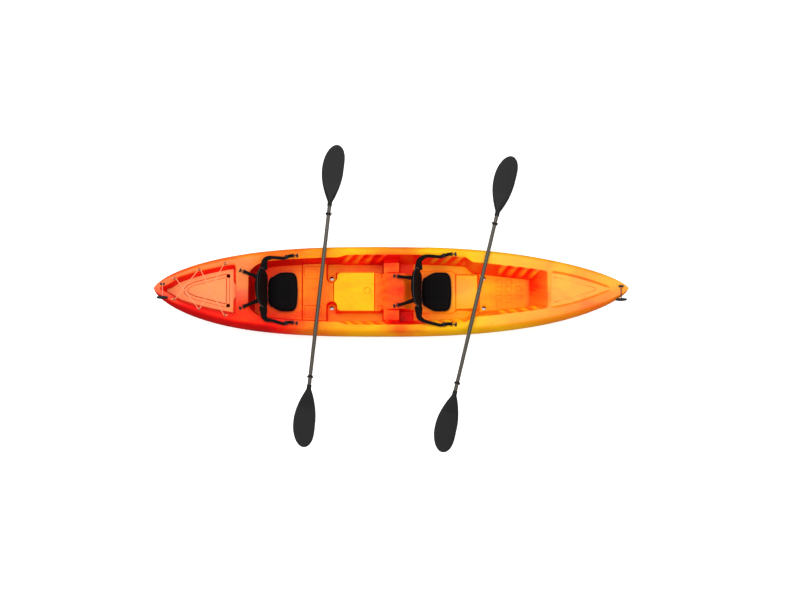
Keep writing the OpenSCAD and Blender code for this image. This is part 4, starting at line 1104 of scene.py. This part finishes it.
def side_route(x, e, p, side):
    """Off the backrest's edge, down the wing to the gunwale, and forward along it to the hook."""
    r, hook = back_point(x, WING_H, BACK_W / 2, 0), hook_point(e, p, SLOT_X + 6)
    y0, z1 = max(r[1], float(back_hw(WING_H))) + SEWN, RIM_Z + PULL_Z
    bend = (r[0] + 64, p[1] - 4, z1 + 4)
    sag = (mix(bend[0], hook[0], 0.5), mix(p[1], hook[1], 0.42) - side * SLACK, mix(bend[2], hook[2], 0.5))
    return [np.array(q, float) for q in (
        (r[0] - 4, y0, r[2]), (r[0] - 2, y0 + 0.35 * WING_RUN, mix(r[2], z1, 0.45)),
        (r[0] + 2, y0 + 0.75 * WING_RUN, mix(r[2], z1, 0.85)),
        (r[0] + 24, min(y0 + WING_RUN, p[1] - 10), z1 + 3), bend, sag, hook_point(e, p, SLOT_X + 34), hook)]


SIDE_WIDTHS = [WING_W, WING_W * 0.86, WING_W * 0.7, WING_W * 0.56] + [WEB_W] * 4
SIDE_DIRS = [(-1, 0, 0), (-1, 0, 0.1), (-1, 0.1, 0.2), (-1, 1, 0.3), (0, 1, 0.15)] + [(0, 1, 0)] * 3
TAIL_WIDTHS = [WEB_W * 1.5, WEB_W * 1.5, WEB_W * 1.3] + [WEB_W] * 3


def tail_route(x, e, p):
    r = back_point(x, TAIL_H, TAIL_Y, -BACK_T / 2 - WEB_T / 2 - SEWN)
    hook, q = hook_point(e, p, SLOT_X + 6), hook_point(e, p, SLOT_X + 30)
    return [r + np.array([8 * math.sin(LEAN), 0, -40]), r,
            np.array([mix(r[0], q[0], 0.35), mix(r[1], q[1], 0.35), mix(r[2], q[2], 0.42)]),
            np.array([mix(r[0], q[0], 0.7), mix(r[1], q[1], 0.7), mix(r[2], q[2], 0.8)]), q, hook]


def band_of_webbing(name, spots, widths, dirs, side, cover):
    """Flat webbing with rounded edges along a route, with a UV map in metres along and across it."""
    path = smooth_path(spots, 4)
    run = run_along(path)
    marks = [run[np.argmin(np.linalg.norm(path - s, axis=1))] for s in spots]
    wide = np.interp(run, marks, widths)
    d = sampled(run, marks, np.array(dirs, float))
    t = unit(np.gradient(path, axis=0))
    d = unit(d - t * (d * t).sum(1)[:, None])
    n = np.cross(t, d)
    face = [(-0.985, 0.7), (-0.93, 1), (-0.5, 1), (0, 1), (0.5, 1), (0.93, 1), (0.985, 0.7)]
    section = [(-1, 0.0)] + face + [(1, 0.0)] + [(-u, -v) for u, v in face]
    verts, faces = loft([np.array([path[i] + d[i] * wide[i] / 2 * u + n[i] * WEB_T / 2 * v for u, v in section])
                         for i in range(len(path))])
    verts[:, 1] *= side
    along = np.append(np.repeat(run, len(section)), [0, run[-1]])
    across = np.append(np.outer(wide / 2, [u for u, _ in section]), [0, 0])
    uv = np.stack([along, across], axis=1) * MM
    return mesh_object(name, verts * MM, faces, cover, uv[np.concatenate(faces)])


# Polyester seat-belt weave: near black, slanting ribs 1.2 mm apart drawn at 3.5 mm so that they show
RIB = 3.5
webbing, tree = material("woven_polyester_webbing")
run = put(tree, "ShaderNodeUVMap", uv_map="run")
along, across, _ = put(tree, "ShaderNodeSeparateXYZ", {0: run.outputs[0]}).outputs
slant = maths(tree, "ADD", along, maths(tree, "ABSOLUTE", across))
depth = rescale(tree, maths(tree, "SINE", maths(tree, "MULTIPLY", slant, 2 * math.pi / (RIB * MM))), -1.0, 1.0)
surface(tree, {"Base Color": two_tone(tree, depth, "#060404", "#150f10"),
               "Normal": dented(tree, depth, 0.5, 0.0004), "Roughness": 0.6, "Specular IOR Level": 0.06})
# Zinc-plated steel blackened by a dark passivate: dull brown black with a little gloss
black_zinc = moulded("black_passivated_zinc", "#1d1715", "#2c2421", 0.42, 1.0)
for seat, seat_x in SEATS:
    (e0, e1), (p0, p1) = EYES[seat], PULLS[seat]
    tail_way = math.atan2(e1[1] - p1[1], e1[0] - p1[0])
    flat_way = np.array([2 * BACK_BOW * TAIL_Y / (BACK_W / 2) ** 2, 1, 0])
    hung_way = np.array([math.sin(tail_way), -math.cos(tail_way), 0])
    tail_dirs = [flat_way, flat_way, (flat_way + hung_way) / 2, hung_way, hung_way, hung_way]
    for letter, side in (("l", 1), ("r", -1)):
        spots = side_route(seat_x, e0, p0, side)
        straight = [mix(spots[5], spots[6], f) for f in (0.35, 0.65)]
        sewn = spots[0] - np.array([0, SEWN_IN, 0])
        widths = [WING_W * 0.8] + SIDE_WIDTHS[:6] + [WEB_W, WEB_W] + SIDE_WIDTHS[6:]
        dirs = SIDE_DIRS[:1] + SIDE_DIRS[:6] + [SIDE_DIRS[5]] * 2 + SIDE_DIRS[6:]
        strap = band_of_webbing(f"{seat}_side_webbing_{letter}", [sewn] + spots[:6] + straight + spots[6:],
                                widths, dirs, side, webbing)
        root = spots[0]
        rim = root + np.array([0, spots[3][1] - root[1], 0])
        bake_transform(strap)
        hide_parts(f"{seat}_side_strap_{letter}")
        spots = tail_route(seat_x, e1, p1)
        tail = band_of_webbing(f"{seat}_tail_webbing_{letter}", spots, TAIL_WIDTHS, tail_dirs, side, webbing)
        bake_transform(tail)
        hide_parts(f"{seat}_tail_strap_{letter}")
    dress(f"{seat}_hooks", black_zinc)
    dress(f"{seat}_sliders", black_nylon)


# Paddles. A round shaft of wound glass fibre carries a moulded nylon blade on each end, and a rubber drip
# ring slides on it inside each blade; both paddles lie across the gunwales.
PADDLE_L, SHAFT_D, BLADE_L, BLADE_W, SOCKET_L, NECK_WALL = 2400.0, 30.0, 490.0, 172.0, 70.0, 3.6
NECK_Y, NECK_R, NECK_L, WIDEST = PADDLE_L / 2 - BLADE_L, SHAFT_D / 2 + NECK_WALL, 35.0, 0.6 * BLADE_L
PADDLES = (("rear", (-560.0, -47.0), math.radians(6.1)), ("front", (662.0, -111.0), math.radians(13.4)))
PADDLE_Z = RIM_Z + SHAFT_D / 2 + 0.1
ROVING, STARTS, BLADE_CREASE = 12.0, 4.0, math.radians(50)


def blade_hw(s):
    swell = np.sin(np.pi / 2 * ramp(NECK_L, WIDEST, s) ** 0.92)
    tip = np.maximum(0, 1 - ramp(WIDEST, WIDEST + 0.4005 * BLADE_L, s) ** 2.6) ** 0.5
    body = np.where(s < WIDEST, NECK_R + (BLADE_W / 2 - NECK_R) * swell, BLADE_W / 2 * tip)
    return np.where(s < NECK_L, NECK_R, body)


def blade_ring(s):
    a = np.linspace(0, 2 * math.pi, 56, endpoint=False)
    out = np.cos(a) * blade_hw(s)
    high = mix(NECK_R, 4.5, ss(SOCKET_L + 4, SOCKET_L + 120, s)) * (1 - 0.45 * ss(0.7 * BLADE_L, BLADE_L, s))
    rise = 20 * ramp(SOCKET_L, BLADE_L, s) ** 2
    skew = -6 * np.sin(np.pi * ramp(60, BLADE_L, s)) + 9 * ss(WIDEST, BLADE_L, s)
    spine = 3.2 * np.exp(-(out / 13) ** 2) * within(150, 200, 330, 430, s) * (np.sin(a) < 0)
    return np.stack([out + skew, np.full_like(a, NECK_Y + s), np.sin(a) * high + rise - spine], axis=1)


def laid(p, place, angle, side):
    """From a paddle's own frame to where it lies."""
    q = p * np.array([1, side, 1])
    return np.stack([place[0] + q[:, 0] * math.cos(angle) + q[:, 1] * math.sin(angle),
                     place[1] - q[:, 0] * math.sin(angle) + q[:, 1] * math.cos(angle),
                     PADDLE_Z + q[:, 2]], axis=1)


# Glass-filled nylon, moulded: charcoal black with a satin face and a fine pitted grain
blade_nylon = moulded("satin_moulded_nylon", "#0b0b0b", "#151515", 0.42, 2.0)
# Moulded rubber: black, matt, with a fine grain
drip_rubber = moulded("moulded_black_rubber", "#0e0e0e", "#1c1c1c", 0.6, 1.2)
tip_steps = 1 - 0.03 * (1 - np.linspace(0, 1, 9)) ** 2
steps = BLADE_L * np.unique(np.concatenate([np.linspace(0, 0.97, 62), tip_steps]))
for name, place, angle in PADDLES:
    # Wound glass fibre in clear resin: grey, satin, the roving crossing at 45 degrees every 12 mm
    roving, tree = material(f"wound_glass_fibre_{name}")
    own = put(tree, "ShaderNodeMapping", {
        "Vector": on_object(tree), "Location": (place[0] * MM, place[1] * MM, PADDLE_Z * MM),
        "Rotation": (0, 0, -angle)}, vector_type="TEXTURE")
    out, along, up = put(tree, "ShaderNodeSeparateXYZ", {0: own.outputs[0]}).outputs
    wound = crossing(tree, maths(tree, "MULTIPLY", along, 2 * math.pi / (2 * ROVING * MM)),
                     maths(tree, "MULTIPLY", maths(tree, "ARCTAN2", up, out), STARTS))
    # The raised roving is drawn lighter: the winding's pattern, partly a painted sheen laid along it
    depth = rescale(tree, wound, -0.5, 1.0)
    surface(tree, {"Base Color": two_tone(tree, depth, "#1a1712", "#453e30"),
                   "Normal": dented(tree, depth, 0.2, 0.0003), "Roughness": 0.36, "Coat Weight": 0.3,
                   "Coat Roughness": 0.15})
    dress(f"{name}_paddle_shaft", roving)
    for letter, side in (("l", 1), ("r", -1)):
        verts, faces = loft([laid(blade_ring(s), place, angle, side) for s in steps])
        blade = mesh_object(f"{name}_paddle_face_{letter}", verts * MM, faces, blade_nylon)
        blade.data.set_sharp_from_angle(angle=BLADE_CREASE)
        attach(blade, f"{name}_paddle")
        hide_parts(f"{name}_paddle_blade_{letter}")
        dress(f"{name}_paddle_ring_{letter}", drip_rubber)

bpy.data.objects.remove(stitch_object)
